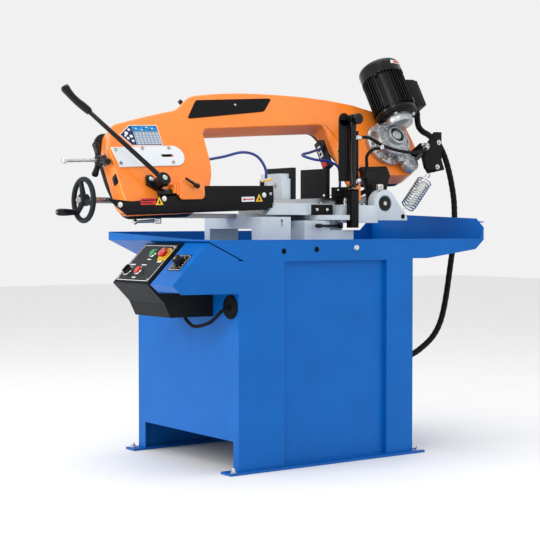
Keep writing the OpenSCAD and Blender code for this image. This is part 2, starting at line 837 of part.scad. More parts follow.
// damper cylinder with its guide bar and the eye on the top pin
module damper_barrel() {
    color("#1b1d20") difference() {
        union() {
            rod_z(pin_x, pin_y, 13, 967, 1205);
            rod_y(pin_x, pin_top, 18, -222, -198);
            block([142, -204, 990], [190, -199, 1213]);
            rod_y(166, 1213, 24, -204, -199);
            block([166, -204, 1190], [206, -199, 1230]);
            block([196, -204, 975], [232, -199, 1175]);
            rod_x(pin_y, 1149, 6, 210, 218);
            rod_x(pin_y, 990, 6, 210, 218);
        }
        rod_y(pin_x, pin_top, 8.05, -223, -197);
        rod_z(pin_x, pin_y, 7.05, 966, 1165);
    }
}

module damper_knob() {
    color("#101112") {
        rod_y(pin_x + 2, pin_top, 20, -246, -228);
        rod_y(pin_x + 2, pin_top, 5, -229, -222.4);
    }
}

// damper rod with the channel that hangs over the lower pin
module damper_rod() {
    color("#1b1d20") {
        rod_z(pin_x, pin_y, 7, 957, 1150);
        block([182, -223, 822], [218, -220, 962]);
        block([182, -223, 822], [185, -197, 962]);
        block([215, -223, 822], [218, -197, 962]);
        block([182, -223, 956], [218, -197, 962]);
    }
}

// ---------------------------------------------------------------- hoses and cables

module coolant_hose_left() {
    color("#1d3f9e") tube(coolant_left_route, 5);
}

module coolant_hose_right() {
    color("#1d3f9e") tube(coolant_right_route, 5);
}

module damper_hose_upper() {
    color("#141517") tube(damper_upper_route, 6);
}

module damper_hose_lower() {
    color("#141517") tube(damper_lower_route, 6);
}

module conduit_upper() {
    color("#101112") tube(conduit_upper_route, 12);
}

module conduit_lower() {
    color("#101112") tube(conduit_lower_route, 12);
}

cabinet();
foot_plates();
foot_bolts();
tray();
cable_grommet();
box_cable();
control_box();
control_face();
dial_bracket();
start_button();
stop_button();
emergency_stop();
selector_switch();
speed_knob();
base_casting();
rear_bed();
fixed_jaw();
vise_rail();
rail_lever();
moving_jaw();
jaw_plate();
vise_screw();
handwheel();
crank_grip();
swivel_table();
pivot_casting();
pivot_shaft();
stop_screw();
lift_spring();
swivel_lever();
bow_casting();
bow_cover();
top_insert();
slide_plate();
guard_beam();
left_guide();
right_guide();
right_guard();
bow_bracket();
damper_arm();
gearbox();
motor();
terminal_box();
tension_rod();
band();
idler_wheel();
drive_wheel();
star_handle();
brush_cover();
feed_lever();
tap_lever();
damper_barrel();
damper_knob();
damper_rod();
coolant_hose_left();
coolant_hose_right();
damper_hose_upper();
damper_hose_lower();
conduit_upper();
conduit_lower();
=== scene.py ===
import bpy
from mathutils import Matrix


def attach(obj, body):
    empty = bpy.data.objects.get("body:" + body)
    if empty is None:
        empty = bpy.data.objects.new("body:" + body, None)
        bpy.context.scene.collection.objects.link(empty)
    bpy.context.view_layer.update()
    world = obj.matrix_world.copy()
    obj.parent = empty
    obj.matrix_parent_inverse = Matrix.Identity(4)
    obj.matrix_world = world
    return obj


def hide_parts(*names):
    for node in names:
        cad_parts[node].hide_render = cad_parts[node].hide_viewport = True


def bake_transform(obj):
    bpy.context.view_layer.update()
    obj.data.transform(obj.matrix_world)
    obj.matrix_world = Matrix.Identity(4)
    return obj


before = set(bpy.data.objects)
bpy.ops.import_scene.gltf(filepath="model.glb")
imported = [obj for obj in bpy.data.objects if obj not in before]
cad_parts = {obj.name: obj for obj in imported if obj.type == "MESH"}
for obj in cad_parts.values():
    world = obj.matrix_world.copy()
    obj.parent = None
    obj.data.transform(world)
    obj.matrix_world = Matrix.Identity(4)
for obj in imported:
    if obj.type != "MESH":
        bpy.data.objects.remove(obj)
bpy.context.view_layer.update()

import math
import bmesh
import bpy
from mathutils import Matrix, Vector

# ------------------------------------------------------------------ frames, in millimetres
DIP = math.radians(2.4)
LEAN = math.radians(28)
TO_METRES = Matrix.Scale(0.001, 4)
MACHINE = Matrix.Identity(4)
BAND = Matrix.Translation((380, -120, 913)) @ Matrix.Rotation(-DIP, 4, "Y")
BOW = BAND @ Matrix.Rotation(-LEAN, 4, "X")
PANEL = Matrix.Translation((-641, 0, 634)) @ Matrix.Rotation(-math.radians(45), 4, "Y")
UP, DOWN, OUT, BACK, LEFT, RIGHT = ((0, 0, 1), (0, 0, -1), (0, -1, 0), (0, 1, 0), (-1, 0, 0), (1, 0, 0))

# ------------------------------------------------------------------ driving places and sizes
LENS, SENSOR = 90.466667, 36
LEVEL_X, LEVEL_Y = 406, 334             # levelling bolts
VISE = (-10, 914)                       # the screw's axis, in Y and Z
WHEEL_HUB = (-789, *VISE)
PLATE_SCREWS_Y = (-60, 25)              # screws that hold the jaw plates
SWIVEL_X, SWIVEL_Y = 165, -120          # the mitre's axis
DAMPER = (200, -210)                    # the damper's axis, in X and Y
SPRING_TURNS, SPRING_STEPS = 12, 26
SPRING_R, SPRING_WIRE = 27, 3
RIB_DEPTH = 0.9                         # of the ribbed conduit
# on the panel: the centre of each control
START, STOP, EMERGENCY, SELECTOR, SPEED = (137, -58), (55, -55), (133, -135), (55, 20), (102, -262)
# on the band's line: the coolant tap
TAP_AT = (-530, -20)
# on the bow: its front face, the feed lever's boss, the tension rod and the gearbox's centre
FRONT = -45
FEED_U, FEED_V = -951, 74
TENSION_V = 205
GU, GV = 110, 222
# the motor's foot and radius, and the corner and top of its terminal box
MU, MY, MV = 146, -130, 306
MR = 74
TB_U, TB_V, TB_TOP = MU + 83, MV + 27, MV + 146


# ------------------------------------------------------------------ camera
def make_camera():
    data = bpy.data.cameras.new("camera")
    camera = bpy.data.objects.new("camera", data)
    bpy.context.scene.collection.objects.link(camera)
    data.lens = LENS
    data.sensor_width = SENSOR
    data.clip_end = 60
    camera.location = (-2.911, -4.054, 0.815)
    camera.rotation_euler = (math.radians(90 - 1.7), 0, math.radians(-35.5))
    bpy.context.scene.camera = camera


def area_light(name, at, aim, size, power, colour=(1, 1, 1)):
    data = bpy.data.lights.new(name, "AREA")
    data.shape = "RECTANGLE"
    data.size, data.size_y = size
    data.energy = power
    data.color = colour
    light = bpy.data.objects.new(name, data)
    bpy.context.scene.collection.objects.link(light)
    light.location = at
    light.rotation_euler = (Vector(aim) - Vector(at)).to_track_quat("-Z", "Y").to_euler()


make_camera()

# ------------------------------------------------------------------ materials
MATERIALS = {}


def material(name, colour, rough=0.5, metal=0.0, coat=0.0, grain=700, bump=0.12, mottle=0.06,
             spread=0.07, stretch=(1, 1, 1), edge=0.0, wear=None, depth=0.0004, spec=0.5):
    """A procedural finish: mottled colour, uneven roughness, a fine bump and rounded edges."""
    if name in MATERIALS:
        return MATERIALS[name]
    m = bpy.data.materials.new(name)
    m.use_nodes = True
    nodes, link = m.node_tree.nodes, m.node_tree.links.new
    shader = nodes["Principled BSDF"]
    shader.inputs["Metallic"].default_value = metal
    shader.inputs["Coat Weight"].default_value = coat
    shader.inputs["Coat Roughness"].default_value = 0.12
    shader.inputs["Specular IOR Level"].default_value = spec
    place = nodes.new("ShaderNodeTexCoord")
    scale = nodes.new("ShaderNodeMapping")
    scale.inputs["Scale"].default_value = stretch
    link(place.outputs["Object"], scale.inputs["Vector"])

    def noise(size, detail):
        n = nodes.new("ShaderNodeTexNoise")
        n.inputs["Scale"].default_value = size
        n.inputs["Detail"].default_value = detail
        link(scale.outputs["Vector"], n.inputs["Vector"])
        return n.outputs["Fac"]

    def ramp(source, low, high, a, b):
        r = nodes.new("ShaderNodeValToRGB")
        r.color_ramp.elements[0].position = low
        r.color_ramp.elements[1].position = high
        r.color_ramp.elements[0].color = (*a, 1)
        r.color_ramp.elements[1].color = (*b, 1)
        link(source, r.inputs["Fac"])
        return r.outputs["Color"]

    dark = [c * (1 - mottle) for c in colour]
    light = [min(1, c * (1 + mottle)) for c in colour]
    base = ramp(noise(7, 5), 0.35, 0.65, dark, light)
    if wear:
        mix = nodes.new("ShaderNodeMix")
        mix.data_type = "RGBA"
        mask = ramp(noise(130, 7), 0.60, 0.74, (0, 0, 0), (1, 1, 1))
        link(mask, mix.inputs["Factor"])
        link(base, mix.inputs["A"])
        mix.inputs["B"].default_value = (*wear, 1)
        base = mix.outputs["Result"]
    link(base, shader.inputs["Base Color"])
    gloss = nodes.new("ShaderNodeMapRange")
    gloss.inputs["To Min"].default_value = max(0.03, rough - spread)
    gloss.inputs["To Max"].default_value = min(1, rough + spread)
    link(noise(45, 4), gloss.inputs["Value"])
    link(gloss.outputs["Result"], shader.inputs["Roughness"])
    relief = nodes.new("ShaderNodeBump")
    relief.inputs["Strength"].default_value = bump
    relief.inputs["Distance"].default_value = depth
    link(noise(grain, 3), relief.inputs["Height"])
    if edge:
        bevel = nodes.new("ShaderNodeBevel")
        bevel.samples = 4
        bevel.inputs["Radius"].default_value = edge
        link(bevel.outputs["Normal"], relief.inputs["Normal"])
    link(relief.outputs["Normal"], shader.inputs["Normal"])
    MATERIALS[name] = m
    return m


ORANGE = material("orange_gloss", (0.90, 0.225, 0.022), 0.30, coat=0.45, grain=260, bump=0.06,
                  mottle=0.04, spec=0.35)
BLUE = material("blue_powder_coat", (0.0, 0.115, 0.44), 0.42, coat=0.08, grain=900, bump=0.12,
                mottle=0.05, edge=0.0012, spec=0.15)
FOOT_BLUE = material("blue_foot", (0.0, 0.10, 0.40), 0.45, grain=800, bump=0.12, edge=0.001, spec=0.25)
COVER_BLACK = material("black_cover", (0.005, 0.005, 0.006), 0.36, coat=0.1, grain=500, bump=0.10,
                       spec=0.12)
BLACK_PAINT = material("black_satin", (0.006, 0.006, 0.007), 0.38, grain=700, bump=0.16, mottle=0.15,
                       edge=0.0008, spec=0.12)
BLACK_GLOSS = material("black_gloss", (0.004, 0.004, 0.005), 0.22, coat=0.3, grain=300, bump=0.05,
                       spec=0.12)
TEXTURED = material("black_textured", (0.008, 0.010, 0.012), 0.5, grain=1500, bump=0.5, edge=0.001,
                    spec=0.12)
INSERT = material("black_insert", (0.003, 0.003, 0.0035), 0.6, grain=1300, bump=0.6, spec=0.12)
RUBBER = material("black_rubber", (0.006, 0.006, 0.007), 0.6, grain=1100, bump=0.3, spec=0.12)
WHITE_PLATE = material("white_plate", (0.70, 0.74, 0.77), 0.40, grain=500, bump=0.08, mottle=0.03,
                       edge=0.0008, spec=0.3)
GREY = material("grey_casting", (0.60, 0.67, 0.72), 0.50, grain=320, bump=0.35, mottle=0.08,
                edge=0.0025, depth=0.0008, spec=0.35)
BED = material("machined_iron", (0.30, 0.31, 0.32), 0.34, metal=0.75, grain=500, bump=0.25, mottle=0.12,
               stretch=(1, 14, 14), edge=0.0008)
JAW = material("blackened_iron", (0.010, 0.011, 0.013), 0.46, grain=420, bump=0.25, mottle=0.2,
               edge=0.0012, wear=(0.022, 0.024, 0.028), spec=0.12)
STEEL = material("turned_steel", (0.46, 0.47, 0.48), 0.28, metal=1, grain=400, bump=0.15, mottle=0.08)
ZINC = material("zinc_plate", (0.62, 0.64, 0.63), 0.26, metal=1, grain=600, bump=0.10, mottle=0.06)
CAST_ALLOY = material("cast_alloy", (0.44, 0.46, 0.48), 0.36, metal=0.9, grain=420, bump=0.5,
                      mottle=0.20, edge=0.0015, wear=(0.60, 0.62, 0.64), depth=0.0007)
BAND_STEEL = material("rolled_steel", (0.42, 0.43, 0.45), 0.30, metal=1, grain=700, bump=0.1,
                      stretch=(1, 10, 10))
WHEEL_IRON = material("wheel_iron", (0.30, 0.31, 0.32), 0.45, metal=0.6, grain=350, bump=0.3, edge=0.001)
GREY_PLASTIC = material("charcoal_plastic", (0.012, 0.017, 0.021), 0.45, grain=900, bump=0.3, spec=0.12)
FACE = material("panel_charcoal", (0.010, 0.013, 0.017), 0.36, grain=600, bump=0.05, spec=0.12)
WHITE = material("white_print", (0.78, 0.79, 0.80), 0.45, grain=600, bump=0.03, mottle=0.02, spec=0.3)
PALE = material("pale_print", (0.42, 0.50, 0.60), 0.45, grain=600, bump=0.03, mottle=0.03, spec=0.3)
YELLOW = material("yellow_print", (0.90, 0.52, 0.02), 0.42, grain=600, bump=0.03, mottle=0.04, spec=0.3)
RED = material("red_plastic", (0.60, 0.010, 0.010), 0.28, coat=0.3, grain=400, bump=0.04, spec=0.35)
GREEN = material("green_plastic", (0.010, 0.30, 0.075), 0.28, coat=0.3, grain=400, bump=0.04, spec=0.35)
TAP = material("yellow_plastic", (0.85, 0.50, 0.02), 0.32, coat=0.2, grain=500, bump=0.06)
BRASS = material("brass", (0.66, 0.46, 0.17), 0.30, metal=1, grain=500, bump=0.12)
HOSE = material("blue_hose", (0.004, 0.030, 0.22), 0.18, coat=0.4, grain=300, bump=0.04, spec=0.4)
CHART = material("chart_blue", (0.01, 0.22, 0.50), 0.36, grain=500, bump=0.03, mottle=0.08, spec=0.3)
NAVY = material("chart_navy", (0.006, 0.018, 0.075), 0.36, grain=500, bump=0.03, spec=0.3)
# painted shade: a near-black matte laid on holes, slots and grille gaps to stand in for their shadow
RECESS_SHADE = material("painted_recess_shade", (0.002, 0.002, 0.003), 0.8, grain=500, bump=0.1, spec=0.1)


# ------------------------------------------------------------------ building pieces
class Piece:
    """One mesh made of bevelled blocks, turned shapes and tubes, each in its own frame."""

    def __init__(self, name, *finishes):
        self.name = name
        self.finishes = finishes
        self.bm = bmesh.new()

    def take(self, bm, frame_of, bevel, finish, steps=2):
        bmesh.ops.recalc_face_normals(bm, faces=bm.faces)
        if bevel:
            edges = [e for e in bm.edges if len(e.link_faces) == 2
                     and e.calc_face_angle(0) > math.radians(24)]
            bmesh.ops.bevel(bm, geom=edges, offset=bevel, offset_type="OFFSET", segments=steps,
                            profile=0.6, affect="EDGES", clamp_overlap=True)
        bmesh.ops.transform(bm, matrix=TO_METRES @ frame_of, verts=bm.verts)
        for face in bm.faces:
            face.material_index = finish
        mesh = bpy.data.meshes.new("part")
        bm.to_mesh(mesh)
        bm.free()
        self.bm.from_mesh(mesh)
        bpy.data.meshes.remove(mesh)

    def box(self, low, high, at=MACHINE, bevel=1.0, finish=0, steps=2):
        bm = bmesh.new()
        corners = [[(low, high)[i][0], (low, high)[j][1], (low, high)[k][2]]
                   for i in (0, 1) for j in (0, 1) for k in (0, 1)]
        v = [bm.verts.new(c) for c in corners]
        for f in ((0, 1, 3, 2), (4, 6, 7, 5), (0, 4, 5, 1), (2, 3, 7, 6), (0, 2, 6, 4), (1, 5, 7, 3)):
            bm.faces.new([v[i] for i in f])
        self.take(bm, at, bevel, finish, steps)

    def prism(self, outline, y0, y1, at=MACHINE, bevel=1.0, finish=0, steps=2):
        """An outline in X and Z, solid from y0 to y1."""
        bm = bmesh.new()
        front = [bm.verts.new((x, y0, z)) for x, z in outline]
        back = [bm.verts.new((x, y1, z)) for x, z in outline]
        n = len(outline)
        bm.faces.new(front)
        bm.faces.new(back[::-1])
        for i in range(n):
            j = (i + 1) % n
            bm.faces.new((front[i], front[j], back[j], back[i]))
        self.take(bm, at, bevel, finish, steps)

    def turned(self, profile, base, along, at=MACHINE, finish=0, n=40, lobes=None):
        """A profile of (radius, height) turned about the line from base along a direction."""
        bm = bmesh.new()
        along = Vector(along).normalized()
        side = along.cross(Vector((0.31, 0.17, 0.93)) if abs(along.z) < 0.9 else Vector(RIGHT))
        side.normalize()
        other = along.cross(side)
        base = Vector(base)
        rings = []
        for r, h in profile:
            if r < 1e-6:
                rings.append([bm.verts.new(base + along * h)])
                continue
            ring = []
            for k in range(n):
                a = 2 * math.pi * k / n
                rr = r * (lobes(a) if lobes else 1)
                ring.append(bm.verts.new(base + along * h + side * rr * math.cos(a)
                                         + other * rr * math.sin(a)))
            rings.append(ring)
        for a, b in zip(rings, rings[1:]):
            for k in range(n):
                j = (k + 1) % n
                if len(a) == 1 and len(b) == 1:
                    continue
                if len(a) == 1:
                    bm.faces.new((a[0], b[k], b[j]))
                elif len(b) == 1:
                    bm.faces.new((a[k], a[j], b[0]))
                else:
                    bm.faces.new((a[k], a[j], b[j], b[k]))
        for ring in (rings[0], rings[-1]):
            if len(ring) > 1 and rings[0] is not rings[-1] and profile[0] != profile[-1]:
                bm.faces.new(ring)
        if profile[0] == profile[-1] and len(rings[0]) > 1:
            bmesh.ops.remove_doubles(bm, verts=bm.verts, dist=1e-4)
        self.take(bm, at, 0, finish)

    def rod(self, a, b, r, r1=None, at=MACHINE, finish=0, chamfer=None, n=28):
        """A round bar with softened ends."""
        a, b = Vector(a), Vector(b)
        r1 = r if r1 is None else r1
        h = (b - a).length
        c = min(r, r1, h / 2) * 0.18 if chamfer is None else chamfer
        self.turned([(0, 0), (r - c, 0), (r - c * 0.3, c * 0.3), (r, c), (r1, h - c),
                     (r1 - c * 0.3, h - c * 0.3), (r1 - c, h), (0, h)], a, b - a, at, finish, n)

    def hexagon(self, base, along, r, h, at=MACHINE, finish=0):
        self.turned([(0, 0), (r, 0), (r, h * 0.85), (r * 0.9, h), (0, h)], base, along, at, finish, n=6)

    def bolt(self, base, along, r=6, h=5, at=MACHINE, finish=0):
        """A hexagon head on a washer."""
        along = Vector(along).normalized()
        self.rod(base, Vector(base) + along * 1.6, r * 1.45, at=at, finish=finish, chamfer=0.4)
        self.hexagon(Vector(base) + along * 1.4, along, r, h, at, finish)

    def cap_screw(self, base, along, r=5, h=4, at=MACHINE, finish=0):
        """A round head with a socket in it."""
        s = r * 0.5
        self.turned([(0, 0), (r, 0), (r, h * 0.7), (r * 0.85, h), (s, h), (s * 0.95, h * 0.45),
                     (0, h * 0.4)], base, along, at, finish, n=24)

    def dome(self, base, along, r=5, h=3, at=MACHINE, finish=0):
        self.turned([(0, 0), (r, 0), (r * 0.96, h * 0.35), (r * 0.75, h * 0.75), (r * 0.4, h * 0.96),
                     (0, h)], base, along, at, finish, n=20)

    def torus(self, centre, along, big, small, at=MACHINE, finish=0, n=64, sides=16):
        profile = [(big + small * math.cos(2 * math.pi * k / sides),
                    small * math.sin(2 * math.pi * k / sides)) for k in range(sides + 1)]
        profile[-1] = profile[0]
        self.turned(profile, centre, along, at, finish, n)

    def tube(self, route, r, at=MACHINE, finish=0, sides=14, radius=None):
        """A round tube along a route, its ends closed."""
        points = [Vector(p) for p in route]
        bm = bmesh.new()
        normal = None
        rings = []
        for i, p in enumerate(points):
            d = (points[min(i + 1, len(points) - 1)] - points[max(i - 1, 0)]).normalized()
            if normal is None:
                normal = d.cross(Vector((0.3, 0.2, 0.9))).normalized()
            normal = (normal - d * normal.dot(d)).normalized()
            other = d.cross(normal)
            rr = radius(i) if radius else r
            rings.append([bm.verts.new(p + (normal * math.cos(2 * math.pi * k / sides)
                                            + other * math.sin(2 * math.pi * k / sides)) * rr)
                          for k in range(sides)])
        for a, b in zip(rings, rings[1:]):
            for k in range(sides):
                j = (k + 1) % sides
                bm.faces.new((a[k], a[j], b[j], b[k]))
        bm.faces.new(rings[0])
        bm.faces.new(rings[-1])
        self.take(bm, at, 0, finish)

    def done(self, body, slot, *nodes, blend=None, crease=34):
        mesh = bpy.data.meshes.new(self.name)
        self.bm.to_mesh(mesh)
        self.bm.free()
        piece = bpy.data.objects.new(self.name, mesh)
        bpy.context.scene.collection.objects.link(piece)
        for finish in self.finishes:
            mesh.materials.append(finish)
        for polygon in mesh.polygons:
            polygon.use_smooth = True
        mesh.set_sharp_from_angle(angle=math.radians(crease))
        if blend:
            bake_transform(piece)
        else:
            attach(piece, body)
        if nodes:
            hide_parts(*nodes)
        return piece


def finish_node(name, finish):
    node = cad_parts[name]
    if not node.material_slots:
        node.data.materials.append(finish)
    for place in node.material_slots:
        place.material = finish


def spline(points, per=6):
    """A smooth route through the points."""
    p = [Vector(q) for q in points]
    out = []
    for i in range(len(p) - 1):
        a, b, c, d = p[max(i - 1, 0)], p[i], p[i + 1], p[min(i + 2, len(p) - 1)]
        for k in range(per):
            t = k / per
            out.append(0.5 * (2 * b + (c - a) * t + (2 * a - 5 * b + 4 * c - d) * t * t
                              + (3 * b - a - 3 * c + d) * t * t * t))
    out.append(p[-1])
    return out


# ------------------------------------------------------------------ hoses and cables
def hose(name, route, r, finish, slot, node, body=None, blend=None, ribs=0):
    """A cord along its route, smooth or with that many half ribs between two points."""
    piece = Piece(name, finish)
    if ribs:
        line = spline(route, ribs)
        piece.tube(line, r, sides=16, radius=lambda i: r - (RIB_DEPTH if i % 2 else 0))
    else:
        line = spline(route)
        piece.tube(line, r, sides=14)
    made = piece.done(body, slot, node, blend=blend)
    return made


BOX_CABLE = [(-480, -150, 516), (-470, -190, 490), (-445, -250, 505), (-415, -280, 544),
             (-388, -285, 556)]
COOLANT_LEFT = [(-321, -49, 1061), (-264, -60, 1072), (-196, -80, 1089), (-146, -97, 1076),
                (-115, -104.5, 1035), (-111, -104.5, 997)]
COOLANT_RIGHT = [(196, -30, 1118), (120, -60, 1100), (76, -70, 1088), (112, -96, 1072),
                 (165, -108, 1066), (205, -116, 1048), (213, -118, 1010), (213, -118, 968.5)]
DAMPER_UPPER = [(219, -212, 1149), (270, -216, 1151), (327, -218, 1128), (394, -218, 1111),
                (484, -214, 1104), (545, -200, 1112), (590, -180, 1130)]
DAMPER_LOWER = [(222, -212, 991), (244, -214, 1002), (260, -216, 1040), (262, -216, 1085),
                (292, -218, 1110), (322, -218, 1113)]
CONDUIT_UPPER = [(641, -62, 1262), (650, -60, 1222), (672, -60, 1200), (706, -60, 1186),
                 (760, -60, 1150), (805, -60, 1070), (838, -60, 950), (845, -60, 850)]
CONDUIT_LOWER = [(844.8, -60, 847.4), (826, -60, 690), (770, -60, 450), (660, -60, 345), (500, -60, 298),
                 (384, -60, 290)]

hose("box_lead", BOX_CABLE, 6, RUBBER, "rubber_black", "box_cable", body="stand")
hose("coolant_tube_left", COOLANT_LEFT, 5, HOSE, "hose_blue", "coolant_hose_left", body="bow")
hose("coolant_tube_right", COOLANT_RIGHT, 5, HOSE, "hose_blue", "coolant_hose_right", body="bow")
hose("damper_tube_upper", DAMPER_UPPER, 6, RUBBER, "rubber_black", "damper_hose_upper",
     blend=("barrel", "bow", (0.216, -0.212, 1.149), (0.330, -0.218, 1.128)))
hose("damper_tube_lower", DAMPER_LOWER, 6, RUBBER, "rubber_black", "damper_hose_lower",
     blend=("barrel", "bow", (0.244, -0.214, 1.0), (0.262, -0.216, 1.085)))
hose("motor_conduit", CONDUIT_UPPER, 12, RUBBER, "conduit_black", "conduit_upper",
     blend=("swivel", "bow", (0.845, -0.06, 0.85), (0.700, -0.06, 1.19)),
     ribs=10)
hose("stand_conduit", CONDUIT_LOWER, 12, RUBBER, "conduit_black", "conduit_lower",
     blend=("stand", "swivel", (0.60, -0.06, 0.33), (0.84, -0.06, 0.80)),
     ribs=14)

# ------------------------------------------------------------------ light and floor
area_light("key", (-3.4, -3.2, 4.2), (0, 0, 0.9), (2.6, 2.6), 62)
area_light("front", (1.8, -4.2, 2.2), (0.1, 0, 0.7), (2.4, 2.4), 16)
area_light("top", (0, 0.3, 4.4), (0, 0, 0.8), (3.2, 3.2), 50)
area_light("left", (-4.2, 0.4, 1.6), (-0.2, 0, 0.7), (2.0, 2.6), 80)
world = bpy.data.worlds.new("studio")
bpy.context.scene.world = world
world.use_nodes = True
world.node_tree.nodes["Background"].inputs["Color"].default_value = (1, 1, 1, 1)
world.node_tree.nodes["Background"].inputs["Strength"].default_value = 0.88
bpy.context.scene.view_settings.view_transform = "Standard"

floor_mesh = bpy.data.meshes.new("floor")
bm = bmesh.new()
bmesh.ops.create_grid(bm, x_segments=1, y_segments=1, size=14)
bm.to_mesh(floor_mesh)
bm.free()
floor = bpy.data.objects.new("floor", floor_mesh)
bpy.context.scene.collection.objects.link(floor)
floor.location = (0, 0, -0.0005)
floor_mesh.materials.append(material("floor_pale", (0.86, 0.86, 0.86), 0.75, grain=40, bump=0.01,
                                     mottle=0.01))

# ------------------------------------------------------------------ CAD nodes that keep their own mesh
for names, finish in (
        ("cabinet tray dial_bracket", BLUE), ("foot_plates", FOOT_BLUE),
        ("cable_grommet", RUBBER), ("control_box", TEXTURED), ("control_face", FACE),
        ("base_casting swivel_table pivot_casting moving_jaw", GREY), ("rear_bed vise_rail", BED),
        ("fixed_jaw jaw_plate", JAW), ("pivot_shaft", BLACK_GLOSS),
        ("left_guide right_guide right_guard bow_bracket damper_arm", BLACK_PAINT),
        ("slide_plate", WHITE_PLATE), ("top_insert", INSERT), ("band", BAND_STEEL),
        ("idler_wheel drive_wheel", WHEEL_IRON)):
    for node_name in names.split():
        finish_node(node_name, finish)

# ------------------------------------------------------------------ stand details
p = Piece("anchor_bolts", ZINC)
for s in (-1, 1):
    for e in (-1, 1):
        x, y = e * LEVEL_X, s * LEVEL_Y
        p.rod((x, y, 1), (x, y, 24), 5)
        for z in (10, 12, 14, 16, 18, 20, 22):
            p.torus((x, y, z), UP, 4.9, 0.5, n=20, sides=6)
        p.rod((x, y, 8), (x, y, 10), 12.5, chamfer=0.5)
        p.hexagon((x, y, 10), UP, 9, 7)
p.done("stand", "zinc", "foot_bolts")

p = Piece("stand_trim", BLUE, RUBBER)
for x in (-383, 379):
    for y in (-328, 324):
        p.box((x, y, 8), (x + 4, y + 4, 700), bevel=1.2)
for y in (-320, 310):
    p.box((-375, y - 6, 8.2), (375, y + 14, 11), bevel=0.8)
p.turned([(34, 0), (41, 0), (41, 3), (38, 5.5), (34, 5.5), (34, 0)], (-383.5, -285, 556), LEFT, finish=1)
p.turned([(15, 0), (21, 0), (21, 8), (17, 11), (12.6, 11), (12.6, 0), (15, 0)], (383.5, -60, 290), RIGHT,
         finish=1)
p.done("stand", "blue_paint")

p = Piece("tray_details", RECESS_SHADE, GREY, BLUE)
p.rod((116, -331, 752), (116, -340, 752), 9, finish=1)
p.hexagon((116, -339, 752), OUT, 7, 4, finish=1)
# painted shade: near-black discs on the tray's front wall stand in for the shade in its recesses
for x, z in ((-198, 742), (-58, 747)):
    p.turned([(0, 0), (8, 0), (9.5, 0.4), (9.5, 1.2), (7, 1.6), (0, 1.4)], (x, -331.9, z), OUT, finish=0)
p.rod((740, -331, 844), (740, 231, 878), 2.2, finish=2)
p.rod((-506, -331, 779), (722, -331, 779), 2.2, finish=2)
p.rod((-506, 331, 806), (674, 331, 812), 2.2, finish=2)
p.done("stand", "tray_paint")

# ------------------------------------------------------------------ controls
def knurl(depth, power):
    """Twelve grooves round a dial, for Piece.turned."""
    return lambda a: 1 - depth * max(0, math.cos(12 * a)) ** power


def printed_frame(piece, low, high, z0, z1, width, finish):
    """Four printed strips just inside a rectangle of the panel."""
    for a, b in ((low, (low[0] + width, high[1])), ((high[0] - width, low[1]), high),
                 (low, (high[0], low[1] + width)), ((low[0], high[1] - width), high)):
        piece.box((*a, z0), (*b, z1), PANEL, 0, finish)


p = Piece("panel_fittings", WHITE, ZINC, YELLOW)
printed_frame(p, (12, -163), (176, 47), 3, 3.5, 2, 0)
for x in (20, 168):
    for y in (-156, 40):
        p.cap_screw((x, y, 3), UP, 4, 2.6, PANEL, 1)
for x, y in (STOP, START):
    p.turned([(14.6, 0), (18, 0), (18, 3), (16.5, 5), (14.6, 5), (14.6, 0)], (x, y, 3), UP, PANEL, 1)
p.turned([(14, 0), (31, 0), (31, 1.4), (14, 1.6), (14, 0)], (*EMERGENCY, 3), UP, PANEL, 2)
p.turned([(12, 0), (24, 0), (23, 2.6), (12, 2.9), (12, 0)], (*EMERGENCY, 3.4), UP, PANEL, 2)
p.turned([(15, 0), (21, 0), (20, 1.6), (15, 1.6), (15, 0)], (*SELECTOR, 3), UP, PANEL, 1)
for x, y, w in ((84, -55, 16), (110, -58, 12), (84, 20, 18), (100, -135, 14), (26, -55, 12)):
    p.box((x - 2.2, y - w, 3), (x + 2.2, y + w, 3.4), PANEL, 0)
for k in range(5):
    a = math.radians(60 + 15 * k)
    x, y = SELECTOR[0] + 26 * math.sin(a), SELECTOR[1] + 26 * math.cos(a)
    p.box((x - 1, y - 1, 3), (x + 1, y + 1, 3.5), PANEL, 0)
p.done("stand", "face_grey")

p = Piece("start_cap", GREEN)
p.turned([(0, -5), (8, -5), (8, 8), (13.6, 8), (13.8, 12), (12.4, 13.6), (4, 13.2), (0, 13.1)],
         (*START, 0), UP, PANEL)
p.done("start_key", "button_green", "start_button")
p = Piece("stop_cap", RED)
p.turned([(0, -5), (8, -5), (8, 8), (13.6, 8), (13.8, 13), (12.4, 14.6), (4, 14.2), (0, 14.1)],
         (*STOP, 0), UP, PANEL)
p.done("stop_key", "button_red", "stop_button")
p = Piece("emergency_cap", RED, WHITE)
p.turned([(0, -5), (8, -5), (8, 13), (17, 13), (18.8, 15), (19, 18), (17.5, 21), (12, 22.6), (0, 23)],
         (*EMERGENCY, 0), UP, PANEL)
for k in range(3):
    a0 = 120 * k
    for j in range(5):
        a = math.radians(a0 + 12 * j)
        x, y = EMERGENCY[0] + 12.5 * math.cos(a), EMERGENCY[1] + 12.5 * math.sin(a)
        p.rod((x, y, 22.2), (x, y, 22.8), 1.1, at=PANEL, finish=1, n=8)
p.done("stop_mushroom", "stop_red", "emergency_stop")
p = Piece("selector_cap", BLACK_GLOSS, WHITE)
p.turned([(0, -5), (8, -5), (8, 4), (16.5, 4), (16.8, 8), (15.5, 12), (12, 13), (0, 13)], (*SELECTOR, 0),
         UP, PANEL)
p.box((39.5, 16.2, 11), (70.5, 23.8, 20.8), PANEL, 1.6)
p.box((63, 19.2, 20.6), (70, 20.8, 21), PANEL, 0, 1)
p.done("selector", "switch_black", "selector_switch")

